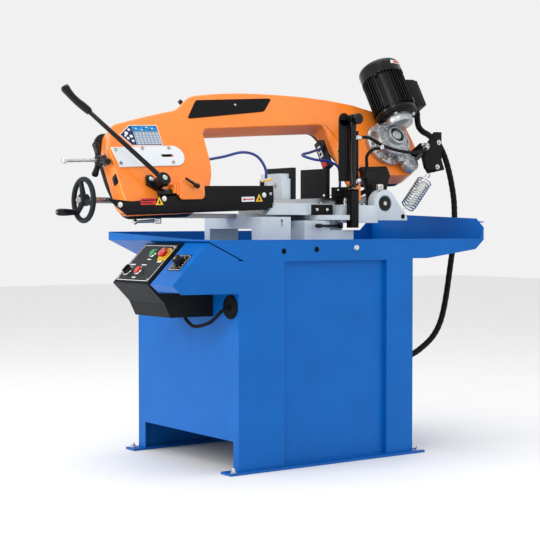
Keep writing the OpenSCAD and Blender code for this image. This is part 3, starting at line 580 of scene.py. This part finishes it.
p = Piece("speed_dial_plate", BLACK_GLOSS, WHITE)
p.box((66, -300, 0.2), (138, -224, 1.2), PANEL, 0.3)
printed_frame(p, (70, -296), (134, -228), 1.2, 1.5, 1, 1)
for k in range(11):
    a = math.radians(-135 + 27 * k)
    c, s = math.cos(a), math.sin(a)
    r0, r1 = (22.5, 27.5) if k % 5 == 0 else (22.5, 25.5)
    x, y = SPEED
    p.rod((x + r0 * c, y + r0 * s, 1.4), (x + r1 * c, y + r1 * s, 1.4), 0.7, at=PANEL, finish=1, n=6)
p.done("stand", "switch_black")
p = Piece("speed_dial_knob", BLACK_GLOSS, WHITE, ZINC)
p.turned([(0, -7), (6, -7), (6, 3), (18.6, 3), (18.8, 7), (15.4, 8), (15, 24), (13.6, 25.8), (9, 26),
          (8.4, 25.2), (0, 25.2)], (*SPEED, 0), UP, PANEL, n=96, lobes=knurl(0.07, 2))
p.rod((102, -262, 25), (102, -262, 25.8), 7.5, at=PANEL, finish=2)
p.box((103, -262.8, 7.4), (118.5, -261.2, 8.2), PANEL, 0, 1)
p.done("speed_dial", "dial_black", "speed_knob")

# ------------------------------------------------------------------ vise
p = Piece("vise_spindle", STEEL)
thread = [(0, 0), (9.4, 0), (10.6, 2)]
for k in range(93):
    z = 30 + 6 * k
    thread += [(10.9, z), (10.9, z + 2.4), (9.5, z + 3.2), (9.5, z + 5.2)]
thread += [(10.6, 675), (9.4, 677), (0, 677)]
p.turned(thread, (-812, *VISE), RIGHT, n=24)
for x0, x1 in ((-576, -560.5), (-529.5, -518)):
    p.rod((x0, *VISE), (x1, *VISE), 16.5, chamfer=1.5)
p.done("screw", "screw_steel", "vise_screw", crease=50)

GRIP = math.radians(135.7)
p = Piece("hand_wheel", GREY_PLASTIC, ZINC)
p.torus(WHEEL_HUB, RIGHT, 69, 9, n=72, sides=18)
p.turned([(11.2, -15), (18, -15), (20.5, -12), (21, 6), (19, 14), (14, 16), (11.2, 16), (11.2, -15)],
         WHEEL_HUB, LEFT)
for k in range(3):
    a = GRIP + 2 * math.pi * k / 3
    d = Vector((0, math.sin(a), math.cos(a)))
    c = Vector(WHEEL_HUB)
    p.rod(c + d * 14, c + d * 66, 10.5, 7, n=20)
    p.rod(c + d * 14 + Vector((-2, 0, 0)), c + d * 40 + Vector((-2, 0, 0)), 8, 6, n=20)
d = Vector((0, math.sin(GRIP), math.cos(GRIP)))
c = Vector(WHEEL_HUB) + d * 57
p.rod(c, c + Vector((-8, 0, 0)), 12)
p.rod(c, c + Vector((-80, 0, 0)), 5, finish=1)
p.rod((-812, *VISE), (-815, *VISE), 6, finish=1)
p.done("screw", "wheel_plastic", "handwheel")
p = Piece("hand_grip", BLACK_GLOSS)
p.turned([(5.3, 0), (9, 0), (9.8, 2), (9.6, 8), (10.4, 16), (12, 34), (12.6, 48), (12, 62), (9.5, 70),
          (5.3, 72.5), (5.3, 0)], c + Vector((-8.5, 0, 0)), LEFT)
p.done("grip", "grip_plastic", "crank_grip")

p = Piece("rail_clamp", ZINC)
p.rod((-505, -10, 850), (-505, -10, 865), 5)
p.turned([(0, 0), (13, 0), (15, 2), (15, 17), (13.5, 19), (0, 19.4)], (-505, -10, 836), UP)
p.rod((-515, -12, 846), (-600, -30, 842), 7, 5)
p.turned([(0, 0)] + [(10 * math.sin(math.pi * k / 12),
                      10 - 10 * math.cos(math.pi * k / 12)) for k in range(1, 12)] + [(0, 20)],
         (-596, -31, 842), (-1, -0.05, 0))
p.done("rail_lock", "lever_steel", "rail_lever")

p = Piece("jaw_screws", STEEL)
for y in PLATE_SCREWS_Y:
    p.cap_screw((174.2, y, 990), RIGHT, 6.6, 6)
p.done("stand", "zinc")
p = Piece("jaw_screws_moving", STEEL)
for y in PLATE_SCREWS_Y:
    p.cap_screw((18.6, y, 990), RIGHT, 6.6, 6)
for y in (-50, 10):
    p.bolt((-32.2, y, 975), LEFT, 7, 6)
p.done("jaw", "zinc")

# ------------------------------------------------------------------ swivel
p = Piece("mitre_scale", BLACK_PAINT, STEEL)
for k in range(31):
    a = math.radians(185 + 3 * k)
    c, s = math.cos(a), math.sin(a)
    r0 = 96 if k % 5 == 0 else 99.5
    p.rod((SWIVEL_X + r0 * c, SWIVEL_Y + r0 * s, 868.2), (SWIVEL_X + 104 * c, SWIVEL_Y + 104 * s, 868.2),
          0.5, n=6)
p.bolt((300, -150, 905), UP, 8, 6, finish=1)
p.bolt((255, -178, 905), UP, 7, 5, finish=1)
p.cap_screw((-120, -129, 910), UP, 6, 5, finish=1)
p.cap_screw((118, -129, 910), UP, 6, 5, finish=1)
p.done("swivel", "grey_casting")

p = Piece("slot_stop_block", BLACK_PAINT, ZINC)
p.box((44, -166.5, 868), (143, -150, 906), bevel=2)
p.cap_screw((70, -166.4, 888), OUT, 6, 3, finish=1)
p.cap_screw((116, -166.4, 888), OUT, 6, 3, finish=1)
p.done("swivel", "black_paint")

p = Piece("stop_bolt", ZINC)
p.rod((185, -182, 905), (185, -182, 931), 5)
p.hexagon((185, -182, 905), UP, 7, 7)
p.hexagon((185, -182, 922), UP, 6.8, 5)
p.done("swivel", "zinc", "stop_screw")

p = Piece("mitre_lock", BLACK_GLOSS)
p.rod((165, -182, 820), (165, -182, 839.5), 10)
p.rod((160, -186, 828), (60, -207, 829), 5.5, 4.6)
p.turned([(0, 0), (5, 0), (7.6, 4), (8, 16), (7.4, 29), (4, 34.6), (0, 35)], (62, -206.6, 829),
         (-34, -7, 0.3))
p.done("swivel_lock", "lock_black", "swivel_lever")

p = Piece("pivot_fittings", ZINC, BLACK_GLOSS, RECESS_SHADE)
p.turned([(0, 0), (26.5, 0), (27, 1.5), (26, 3.6), (18, 4.6), (17, 3.4), (0, 3.4)], (380, -174.3, 913),
         OUT, finish=1)
p.hexagon((380, -177.4, 913), OUT, 9, 4, finish=0)
# painted shade: a near-black disc stands in for the shade of a hole
p.turned([(0, 0), (9, 0), (9, 0.8), (0, 0.4)], (467, -180.1, 865), OUT, finish=2)
p.box((346, -180, 962), (372, -168, 984), bevel=3)
p.bolt((359, -180, 976), OUT, 6, 5)
p.done("swivel", "zinc")


def coil_spring():
    """A close coil with a hook at each end, bent on the swivel's pin and on the bow's."""
    low, top = Vector((474, -170, 872)), Vector((610, -170, 1030))
    axis = top - low
    d = axis.normalized()
    s = d.cross(Vector(BACK)).normalized()
    w = d.cross(s)
    hook, hook_turn, hook_points = 9, math.pi * 1.3, 9
    first, last = 0.18, 0.84
    route = []
    for k in range(hook_points):
        a = -hook_turn + k * hook_turn / (hook_points - 1)
        route.append(low + d * (10 + hook * math.sin(a)) + s * hook * math.cos(a) * 0.8)
    for i in range(SPRING_TURNS * SPRING_STEPS + 1):
        t = i / (SPRING_TURNS * SPRING_STEPS)
        r = SPRING_R * min(1, 0.4 + 14 * min(t, 1 - t))
        a = 2 * math.pi * i / SPRING_STEPS
        route.append(low + axis * (first + (last - first) * t) + (s * math.cos(a) + w * math.sin(a)) * r)
    route.append(low + axis * 0.88 + s * hook)
    for k in range(hook_points):
        a = k * hook_turn / (hook_points - 1)
        route.append(top - d * (10 - hook * math.sin(a)) + s * hook * math.cos(a) * 0.8)
    p = Piece("return_spring", ZINC)
    p.tube(route, SPRING_WIRE, sides=10)
    p.done(None, "spring_zinc", "lift_spring",
           blend=("swivel", "bow", (0.478, -0.170, 0.877), (0.606, -0.170, 1.026)))


coil_spring()

# ------------------------------------------------------------------ bow
# the casting is cut back behind its face at the right of the throat, which leaves a thin lip
BOW_BODY = [(-1088, 226), (-1088, 40), (-1074, 3), (-784, 3), (-743, 64), (-717, 114), (-704, 165),
            (-696, 289), (-683, 302), (-420, 312), (-151, 320), (-80, 190), (-80, 97), (195, 96),
            (223, 119), (262, 175), (268, 230), (262, 290), (250, 340), (140, 375), (55, 400),
            (38, 407), (-80, 429), (-209, 443), (-340, 451), (-477, 454), (-600, 449), (-691, 439),
            (-720, 425), (-774, 380), (-900, 354), (-1054, 316)]
THROAT_LIP = [(-151, 320), (-144, 297), (-149, 125), (-139, 66), (-139, 10), (-95, 10), (-95, 97),
              (-66, 99), (-66, 190), (-136, 322)]
BOW_REAR = [(-1085, 226), (-1085, 128), (-1068, 40), (-1046, 5), (-788, 5), (-745, 66), (-716, 165),
            (-700, 300), (-670, 336), (-140, 336), (-60, 200), (-50, 184), (-50, 100), (190, 100),
            (214, 119), (250, 175), (254, 230), (250, 290), (238, 334), (55, 394), (-80, 423),
            (-209, 437), (-477, 448), (-690, 433), (-718, 418), (-773, 374), (-1000, 322), (-1049, 332),
            (-1080, 314)]


def rounded(outline, radius, steps=4):
    """The outline with its corners turned into short curves."""
    out = []
    n = len(outline)
    for i in range(n):
        a, b, c = (Vector(outline[(i + k) % n]) for k in (-1, 0, 1))
        ra = min(radius, (a - b).length * 0.45)
        rc = min(radius, (c - b).length * 0.45)
        p0 = b + (a - b).normalized() * ra
        p1 = b + (c - b).normalized() * rc
        for k in range(steps + 1):
            t = k / steps
            out.append(tuple(p0 * (1 - t) ** 2 + b * 2 * t * (1 - t) + p1 * t * t))
    return out


p = Piece("bow_shell", ORANGE, COVER_BLACK)
p.prism(rounded(BOW_BODY, 20), FRONT, 30, BOW, 10, steps=4)
p.prism(rounded(THROAT_LIP, 10), FRONT, -37, BOW, 2, steps=2)
p.box((-60, -62, 80), (70, -38, 127), BOW, 6, 1, 3)
p.prism([(-26, -12), (26, -12), (62, 96), (62, 120), (-52, 120), (-52, 96)], -17, 11, BAND, 3, 1)
p.rod((0, -17, 0), (0, 17, 0), 30, at=BAND, finish=1, n=48)
p.box((-915, -57, 62), (-905.5, -4, 92), BAND, 1.5)
p.box((-139.9, -36, 14), (-96, -10, 78), BAND, 2)
p.box((-945, -58, 34), (-884, -44, 66), BOW, 4)
p.rod((FEED_U, -62, FEED_V), (FEED_U, -44, FEED_V), 17, at=BOW, finish=1)
p.done("bow", "orange_paint", "bow_casting")

p = Piece("bow_back", COVER_BLACK, ZINC)
p.prism(rounded(BOW_REAR, 22), 30, 58, BOW, 9, steps=3)
for u, v in ((-1030, 60), (-1030, 280), (-820, 40), (-740, 392), (-480, 420), (-480, 360), (-200, 412),
             (30, 370), (215, 300), (215, 150), (0, 125), (-110, 350)):
    p.dome((u, 57.5, v), BACK, 6, 3, BOW, 1)
p.done("bow", "cover_black", "bow_cover")

p = Piece("bow_fittings", BLACK_GLOSS, ZINC, RECESS_SHADE, RED, WHITE, YELLOW)
p.rod((-1086, -28, 114), (-1096, -28, 114), 8, at=BOW)
p.prism([(-1089, 96), (-1089, 132), (-1093, 126), (-1093, 100)], -40, -14, BOW, 1)
p.rod((-716, -8, 424), (-724, -8, 440), 8, at=BOW)
p.rod((-700, 10, 436), (-706, 10, 446), 6, at=BOW)
p.cap_screw((-520, FRONT - 2, 400), OUT, 4.5, 2, BOW, 1)
# bracket under the lever's boss, and the black cylinder with a bolt in its end
p.prism([(-994, 80), (-986, 112), (-966, 112), (-938, 66), (-962, 56)], FRONT - 14, FRONT, BOW, 2)
p.bolt((-974, FRONT - 14, 95), OUT, 6, 5, BOW, 1)
p.rod((-962, -59, 42), (-898, -59, 42), 12.5, at=BOW)
p.box((-956, -60, 31), (-902, -44, 53), BOW, 2)
p.bolt((-898, -59, 42), RIGHT, 7, 6, BOW, 1)
# limit switch and its label on the right leg
p.box((-182, -30, 150), (-156, 6, 262), BOW, 3)
p.box((-187, -26, 152), (-181, 0, 178), BOW, 1.5, 3)
p.box((-184, -24, 196), (-181.8, -4, 240), BOW, 0.4, 4)
# painted shade: two near-black marks on the label stand in for recess shade
p.box((-184.6, -20, 204), (-183.6, -8, 214), BOW, 0, 2)
p.box((-184.6, -20, 220), (-183.6, -8, 232), BOW, 0, 2)
p.prism([(-134, 196), (-112, 196), (-123, 215)], FRONT - 0.5, FRONT, BOW, 0, 5)
p.prism([(-129, 199), (-117, 199), (-123, 209.5)], FRONT - 0.8, FRONT - 0.4, BOW, 0, 0)
p.prism([(-136, 108), (-108, 108), (-122, 132)], FRONT - 0.5, FRONT, BOW, 0, 5)
p.prism([(-130, 111), (-114, 111), (-122, 125)], FRONT - 0.8, FRONT - 0.4, BOW, 0, 0)
p.done("bow", "black_paint")

p = Piece("chart_sticker", PALE, CHART, NAVY, WHITE)
CHART_OUT = [(-1030, 277), (-985, 312), (-879, 312), (-879, 235), (-997, 236)]
p.prism([(-1033, 277), (-986, 314.5), (-876.5, 314.5), (-876.5, 232.5), (-998, 233.5)], FRONT - 0.5,
        FRONT, BOW, 0, 3)
p.prism(CHART_OUT, FRONT - 0.8, FRONT - 0.4, BOW, 0, 2)
p.box((-980, FRONT - 1.1, 290), (-881, FRONT - 0.7, 310), BOW, 0, 1)
p.box((-978, FRONT - 1.1, 238), (-881, FRONT - 0.7, 288), BOW, 0, 0)
for k in range(7):
    p.box((-974 + 13.4 * k, FRONT - 1.4, 238), (-972.8 + 13.4 * k, FRONT - 1.0, 288), BOW, 0, 2)
for k in range(5):
    p.box((-978, FRONT - 1.4, 246 + 9 * k), (-881, FRONT - 1.0, 246.8 + 9 * k), BOW, 0, 2)
for k in range(9):
    u = -977 + 10.6 * k
    p.box((u, FRONT - 1.4, 294 + 5 * (k % 3)), (u + 7, FRONT - 1.0, 297 + 5 * (k % 3)), BOW, 0,
          3 if k % 2 else 2)
for u, v, r in ((-1006, 282, 7), (-992, 296, 5), (-1004, 262, 5), (-990, 270, 6), (-988, 252, 5),
                (-1012, 272, 4)):
    p.rod((u, FRONT - 0.7, v), (u, FRONT - 1.2, v), r, at=BOW, finish=3, chamfer=0.1, n=10)
p.done("bow", "plate_white")

p = Piece("slide_plate_screws", ZINC, RECESS_SHADE, STEEL)
for u, v in ((-1069, 216), (-964, 221), (-860, 221), (-859, 165), (-1064, 164)):
    p.cap_screw((u, FRONT - 4, v), OUT, 6, 3.4, BOW, 2)
# painted shade: a near-black slot stands in for the shade behind the zinc disc
p.box((-893, FRONT - 2.5, 187), (-857, FRONT - 0.5, 196), BOW, 0, 1)
p.turned([(0, 0), (7, 0), (7, 1), (0, 1.2)], (-891, FRONT - 0.4, 191.5), OUT, BOW, 0)
p.done("bow", "zinc")

p = Piece("feed_handle", BLACK_GLOSS, ZINC)
p.rod((FEED_U, -92, FEED_V), (FEED_U, -41, FEED_V), 8, at=BOW)
p.turned([(0, 0), (22, 0), (24, 2), (24, 18), (21, 21), (10, 22), (0, 22)], (FEED_U, -84, FEED_V), OUT,
         BOW)
p.turned([(0, 0), (9, 0), (9, 1.6), (6, 2.4), (0, 2.6)], (FEED_U, -105.6, FEED_V), OUT, BOW, 1)
p.rod((FEED_U, -84, FEED_V), (FEED_U, -62.5, FEED_V), 17, at=BOW)
p.rod((FEED_U, -94, FEED_V), (-1157, -94, 342), 8.5, 7.5, at=BOW)
p.tube([(-1150, -94, 333), (-1156, -94, 342), (-1170, -94, 358), (-1185, -94, 374), (-1198, -94, 392),
        (-1208, -94, 410), (-1215, -94, 426), (-1217, -94, 432)], 12, BOW, sides=20,
       radius=lambda i: (11, 13, 13.5, 12.6, 12.4, 13.4, 15.5, 12)[i])
p.rod((-1216, -94, 428), (-1204, -94, 436), 6.5, at=BOW)
p.done("lever", "lever_black", "feed_lever")

p = Piece("guard_bar", BLACK_PAINT, ZINC, RED, WHITE, YELLOW)
OUTLINE = [(-1166, 52), (-1099, -2), (-529, -4), (-503, 21), (-503, 78), (-786, 84), (-891, 57),
           (-971, 47), (-1072, 40)]
p.prism(OUTLINE, -50, -44, BAND, 1.5)
p.box((-1095, -50, -2), (-700, -6, 1), BAND, 0.8)
for u in (-1030, -900, -800):
    p.rod((u, -60, 12), (u, FRONT, 12), 7, at=BOW)
for x, z in ((-952, 45), (-545, 46), (-1120, 30)):
    p.turned([(0, 0), (9, 0), (9, 1.4), (6.5, 1.6), (6, 3), (0, 3.4)], (x, -50, z), OUT, BAND, 1)
p.box((-1042, -50.5, 27), (-985, -50, 49), BAND, 0, 2)
p.box((-1038, -50.9, 40), (-989, -50.4, 44), BAND, 0, 0)
p.box((-1038, -50.9, 32), (-996, -50.4, 35), BAND, 0, 0)
for x, z in ((-971, 37), (-566, 36)):
    p.prism([(x - 15, z - 12), (x + 15, z - 12), (x, z + 15)], -50.5, -50, BAND, 0, 4)
    p.prism([(x - 5, z - 8), (x + 5, z - 8), (x, z + 6)], -50.9, -50.4, BAND, 0, 0)
p.box((-640, -50.5, 25), (-586, -50, 42), BAND, 0, 3)
p.prism([(-637, 33.5), (-627, 39), (-627, 35.5), (-590, 35.5), (-590, 31.5), (-627, 31.5), (-627, 28)],
        -50.9, -50.4, BAND, 0, 2)
p.prism([(-1099, -2), (-529, -4), (-535, -6), (-1094, -5)], -50, -44.2, BAND, 0)
p.done("bow", "black_paint", "guard_beam")

p = Piece("cleaner_cover", ORANGE, BLACK_GLOSS)
p.prism(rounded([(-898, 48), (-889, 40), (-808, 39), (-798, 49), (-799, 99), (-806, 107), (-888, 108),
                 (-898, 100)], 7), -64, -54, BAND, 3.5, steps=3)
p.rod((-838, -80, 84), (-838, -62, 84), 5.5, at=BAND, finish=1)
p.turned([(0, 0), (8, 0), (9, 2), (8, 6), (0, 7)], (-838, -78, 84), OUT, BAND, 1)
p.rod((-838, -81, 84), (-884, -80, 111), 5, 4.2, at=BAND, finish=1)
p.rod((-901, -56, 57), (-901, -56, 99), 4, at=BAND, finish=0)
p.done("brush_door", "orange_plastic", "brush_cover")

p = Piece("guide_fittings", ZINC, BRASS)
p.cap_screw((-516, -45.5, 50), OUT, 6, 5, BAND)
p.cap_screw((-546, -44, 50), OUT, 6, 5, BAND)
p.cap_screw((-546, -44, 16), OUT, 6, 5, BAND)
p.hexagon((*TAP_AT, 66), UP, 10, 12, BAND, 1)
p.rod((*TAP_AT, 78), (*TAP_AT, 92), 6.5, at=BAND, finish=1)
p.cap_screw((-160, -30, 46), OUT, 6, 5, BAND)
p.cap_screw((-160, -30, 14), OUT, 6, 5, BAND)
p.dome((-300, -76, 37.5), OUT, 5, 2, BAND)
for u in (-215, -165):
    p.dome((u, -52, 55), OUT, 5, 3, BAND)
p.done("bow", "zinc")

p = Piece("tap_handle", TAP, BRASS)
p.turned([(0, 0), (9, 0), (9, 4), (7, 5.6), (0, 5.8)], (*TAP_AT, 92.4), UP, BAND, 1)
p.rod((-526, -20, 95), (-488, -20, 101), 3.5, 4.2, at=BAND)
p.done("tap", "tap_yellow", "tap_lever")

p = Piece("tension_screw", STEEL, ZINC)
turns = [(0, 0), (5.2, 0)]
for k in range(34):
    z = 2 + 4 * k
    turns += [(6, z), (6, z + 1.6), (5.1, z + 2.2), (5.1, z + 3.6)]
turns += [(5.2, 152), (0, 152)]
p.turned(turns, (-1088, 0, TENSION_V), LEFT, BOW, n=20)
p.turned([(0, 0), (10, 0), (10, 9), (8, 12.5), (4, 14), (0, 14)], (-1236, 0, TENSION_V), LEFT, BOW, 1)
p.turned([(6, 0), (20, 0), (21, 2), (21, 5), (6, 5), (6, 0)], (-1087, 0, TENSION_V), LEFT, BOW, 1)
p.done("bow", "screw_steel", "tension_rod", crease=50)

p = Piece("star_knob", BLACK_GLOSS)
p.turned([(6.5, 0), (15, 0), (17, 3), (17, 26), (14, 31), (6.5, 32), (6.5, 0)], (-1092, 0, TENSION_V),
         LEFT, BOW)
for a in (95, 215, 335):
    c, s = math.cos(math.radians(a)), math.sin(math.radians(a))
    p.turned([(0, 0), (13, 0), (11, 8), (9.5, 22), (10.5, 38), (12, 48), (10.5, 54), (0, 56)],
             (-1110, 8 * c, TENSION_V + 8 * s), (0, c, s), BOW)
p.done("star", "knob_plastic", "star_handle")

# ------------------------------------------------------------------ gearbox and motor
p = Piece("gear_housing", CAST_ALLOY, ZINC, STEEL, BLACK_PAINT)
p.turned([(14.6, 0), (84, 0), (88, 3), (88, 18), (84, 22), (76, 24), (70, 30), (69, 44), (73, 48),
          (74, 60), (71, 66), (64, 67), (62, 64), (48, 64), (46, 68), (38, 70), (36, 88), (33, 90),
          (30, 90), (28, 80), (14.6, 80), (14.6, 0)], (GU, FRONT, GV), OUT, BOW, n=72)
p.turned([(0, 0), (27.6, 0), (27.6, 3), (0, 3)], (GU, -125, GV), OUT, BOW, 3)
p.turned([(0, 0), (20, 0), (20, 3), (17, 7), (8, 8.4), (0, 8.8)], (GU, -127, GV), OUT, BOW, 2)
for k in range(10):
    a = 2 * math.pi * (k + 0.3) / 10
    c, s = math.cos(a), math.sin(a)
    p.rod((GU + 79 * c, -60, GV + 79 * s), (GU + 79 * c, -72, GV + 79 * s), 8.5, at=BOW, n=18)
    p.cap_screw((GU + 79 * c, -72, GV + 79 * s), OUT, 5.4, 5, BOW, 1)
for k in range(12):
    a = 2 * math.pi * (k + 0.5) / 12
    c, s = math.cos(a), math.sin(a)
    p.cap_screw((GU + 66 * c, -111, GV + 66 * s), OUT, 4.8, 5, BOW, 1)
    turn = BOW @ Matrix.Translation((GU, 0, GV)) @ Matrix.Rotation(-a - 0.26, 4, "Y")
    p.box((44, -113, -2.5), (66, -106, 2.5), turn, 1, steps=1)
    p.box((66, -98, -3), (84, -64, 3), turn, 1.2, steps=1)
p.rod((MU, MY, 262), (MU, MY, MV - 12), 52, 56, at=BOW, n=48)
p.turned([(0, 0), (66, 0), (78, 3), (80, 6), (80, 13), (0, 13)], (MU, MY, MV - 13), UP, BOW, 3, n=56)
for k in range(4):
    a = math.radians(45 + 90 * k)
    p.bolt((MU + 62 * math.cos(a), MY + 62 * math.sin(a), MV - 13), DOWN, 6, 6, BOW, 1)
p.turned([(0, 0), (30, 0), (34, 4), (34, 26), (31, 32), (0, 32)], (172, -58, 126), OUT, BOW, n=40)
p.turned([(0, 0), (22, 0), (20, 3), (14, 3.4), (13, 1.6), (0, 1.6)], (172, -89.6, 126), OUT, BOW, 0, n=40)
for k in range(4):
    a = math.radians(45 + 90 * k)
    p.cap_screw((172 + 27 * math.cos(a), -89.6, 126 + 27 * math.sin(a)), OUT, 4, 3.5, BOW, 1)
p.box((112, -88, 134), (188, -60, 228), BOW, 6, steps=3)
p.done("bow", "gear_alloy", "gearbox")

p = Piece("motor_body", BLACK_GLOSS, BLACK_PAINT, ZINC, WHITE, RED, RECESS_SHADE)
p.turned([(0, 0), (78, 0), (82, 3), (82, 12), (78, 16), (76, 22), (MR, 24), (MR, 170), (60, 170),
          (0, 170)], (MU, MY, MV), UP, BOW, n=64)
for k in range(40):
    if k * 9 <= 18 or k * 9 >= 342:
        continue
    spin = BOW @ Matrix.Translation((MU, MY, 0)) @ Matrix.Rotation(math.radians(9 * k), 4, "Z")
    p.box((MR - 4, -1.3, MV + 22), (82, 1.3, MV + 164), spin, 0.7, steps=1)
p.turned([(70, 0), (83, 0), (83, 40), (81.5, 46), (76, 54), (66, 60), (44, 62), (0, 62), (0, 59),
          (60, 55), (70, 48), (70, 0)], (MU, MY, MV + 162), UP, BOW, n=64)
# painted shade: near-black rings on the fan cowl stand in for the shade in its grille gaps
for r in (14, 24, 34, 44, 54):
    p.torus((MU, MY, MV + 223), UP, r, 1.4, BOW, 5, n=48, sides=6)
for k in range(4):
    a = math.radians(30 + 90 * k)
    c, s = math.cos(a), math.sin(a)
    turn = BOW @ Matrix.Translation((MU, MY, 0)) @ Matrix.Rotation(a, 4, "Z")
    p.box((76, -8, MV + 18), (85, 8, MV + 40), turn, 1.5, steps=1)
    p.cap_screw((MU + 84 * c, MY + 84 * s, MV + 29), (c, s, 0), 4, 2, BOW, 0)
    p.box((80, -7, MV + 152), (85, 7, MV + 168), turn, 1, steps=1)
p.box((206, -160, MV + 39), (TB_U + 1, -90, MV + 134), BOW, 3, 0)
p.box((TB_U, -168, TB_V), (274, -82, TB_TOP), BOW, 7, 1, 3)
p.box((273, -165, TB_V + 3), (288, -85, TB_TOP - 3), BOW, 5, 0, 3)
for y in (-156, -94):
    for z in (TB_V + 12, TB_TOP - 12):
        p.cap_screw((287.6, y, z), RIGHT, 4, 0.4, BOW, 2)
label = BOW @ Matrix.Translation((MU, MY, 0)) @ Matrix.Rotation(math.radians(8), 4, "Z")
p.box((-20, -84, MV + 186), (20, -81, MV + 199), label, 0, 3, 1)
p.box((-8, -84.4, MV + 188), (18, -83.8, MV + 197), label, 0, 4, 1)
p.rod((275, -107, TB_V + 2), (275, -107, TB_V - 11), 15, 14, at=BOW, finish=1)
p.done("bow", "motor_black", "motor", "terminal_box")

p = Piece("bracket_bolts", ZINC)
for u, v in ((224, 160), (224, 178)):
    p.bolt((u, -128, v), OUT, 5.5, 5, BOW)
for x, z in ((645, 1056), (652, 1150)):
    p.bolt((x, -176, z), OUT, 7, 6)
p.rod((618, -186, 1040), (618, -176, 1040), 6)
p.done("bow", "zinc")

# ------------------------------------------------------------------ damper
p = Piece("damper_body", BLACK_PAINT, ZINC, BLACK_GLOSS)
p.turned([(7.2, 0), (12, 0), (13, 2), (13, 14), (12, 16), (12, 214), (13, 216), (13, 236), (11, 238),
          (7.2, 238), (7.2, 0)], (*DAMPER, 967), UP, finish=2, n=36)
p.turned([(8.2, 0), (16, 0), (18, 2), (18, 22), (16, 24), (8.2, 24), (8.2, 0)], (200, -198, 1216), OUT,
         n=36)
p.box((142, -204, 990), (190, -199, 1213), bevel=1.5)
p.turned([(0, 0), (23, 0), (24, 1), (24, 4), (23, 5), (0, 5)], (166, -199, 1213), OUT, n=40)
p.box((166, -203.8, 1190), (206, -199.2, 1230), bevel=1.4)
p.box((196, -204, 975), (232, -199, 1175), bevel=1.5)
for z in (1149, 990):
    p.hexagon((210, -210, z), RIGHT, 8, 8, finish=1)
p.done("barrel", "damper_paint", "damper_barrel")

p = Piece("flow_dial", BLACK_GLOSS, ZINC)
p.turned([(0, 0), (17.5, 0), (20, 3), (20, 15), (16.5, 18), (0, 18)], (202, -228, 1216), OUT, n=72,
         lobes=knurl(0.06, 1))
p.rod((202, -222.4, 1216), (202, -229, 1216), 5, finish=1)
p.done("flow_knob", "knob_plastic", "damper_knob")

p = Piece("damper_link", BLACK_PAINT, STEEL, ZINC)
p.rod((*DAMPER, 957), (*DAMPER, 1150), 6.9, finish=1)
p.box((182, -223, 822), (218, -220, 962), bevel=1)
p.box((182, -223, 822), (185, -197, 962), bevel=1)
p.box((215, -223, 822), (218, -197, 962), bevel=1)
p.box((182, -223, 956), (218, -197, 962), bevel=1)
p.hexagon((*DAMPER, 949), UP, 9, 7, finish=2)
p.done("rod", "damper_paint", "damper_rod")

# ------------------------------------------------------------------ hose fittings
p = Piece("hose_fittings", ZINC)
p.rod((575, -188, 1123), (592, -180, 1131), 8.5)
p.rod((590, -180, 1130), (604, -166, 1140), 9)
p.rod((318, -218, 1114), (334, -218, 1118), 8.5)
p.rod((330, -218, 1128), (333, -218, 1112), 8)
p.done("bow", "zinc")
p = Piece("barrel_fittings", ZINC)
p.rod((216, -211, 1149), (236, -213, 1150), 8.2)
p.rod((216, -212, 990), (232, -213, 996), 8.2)
p.done("barrel", "zinc")
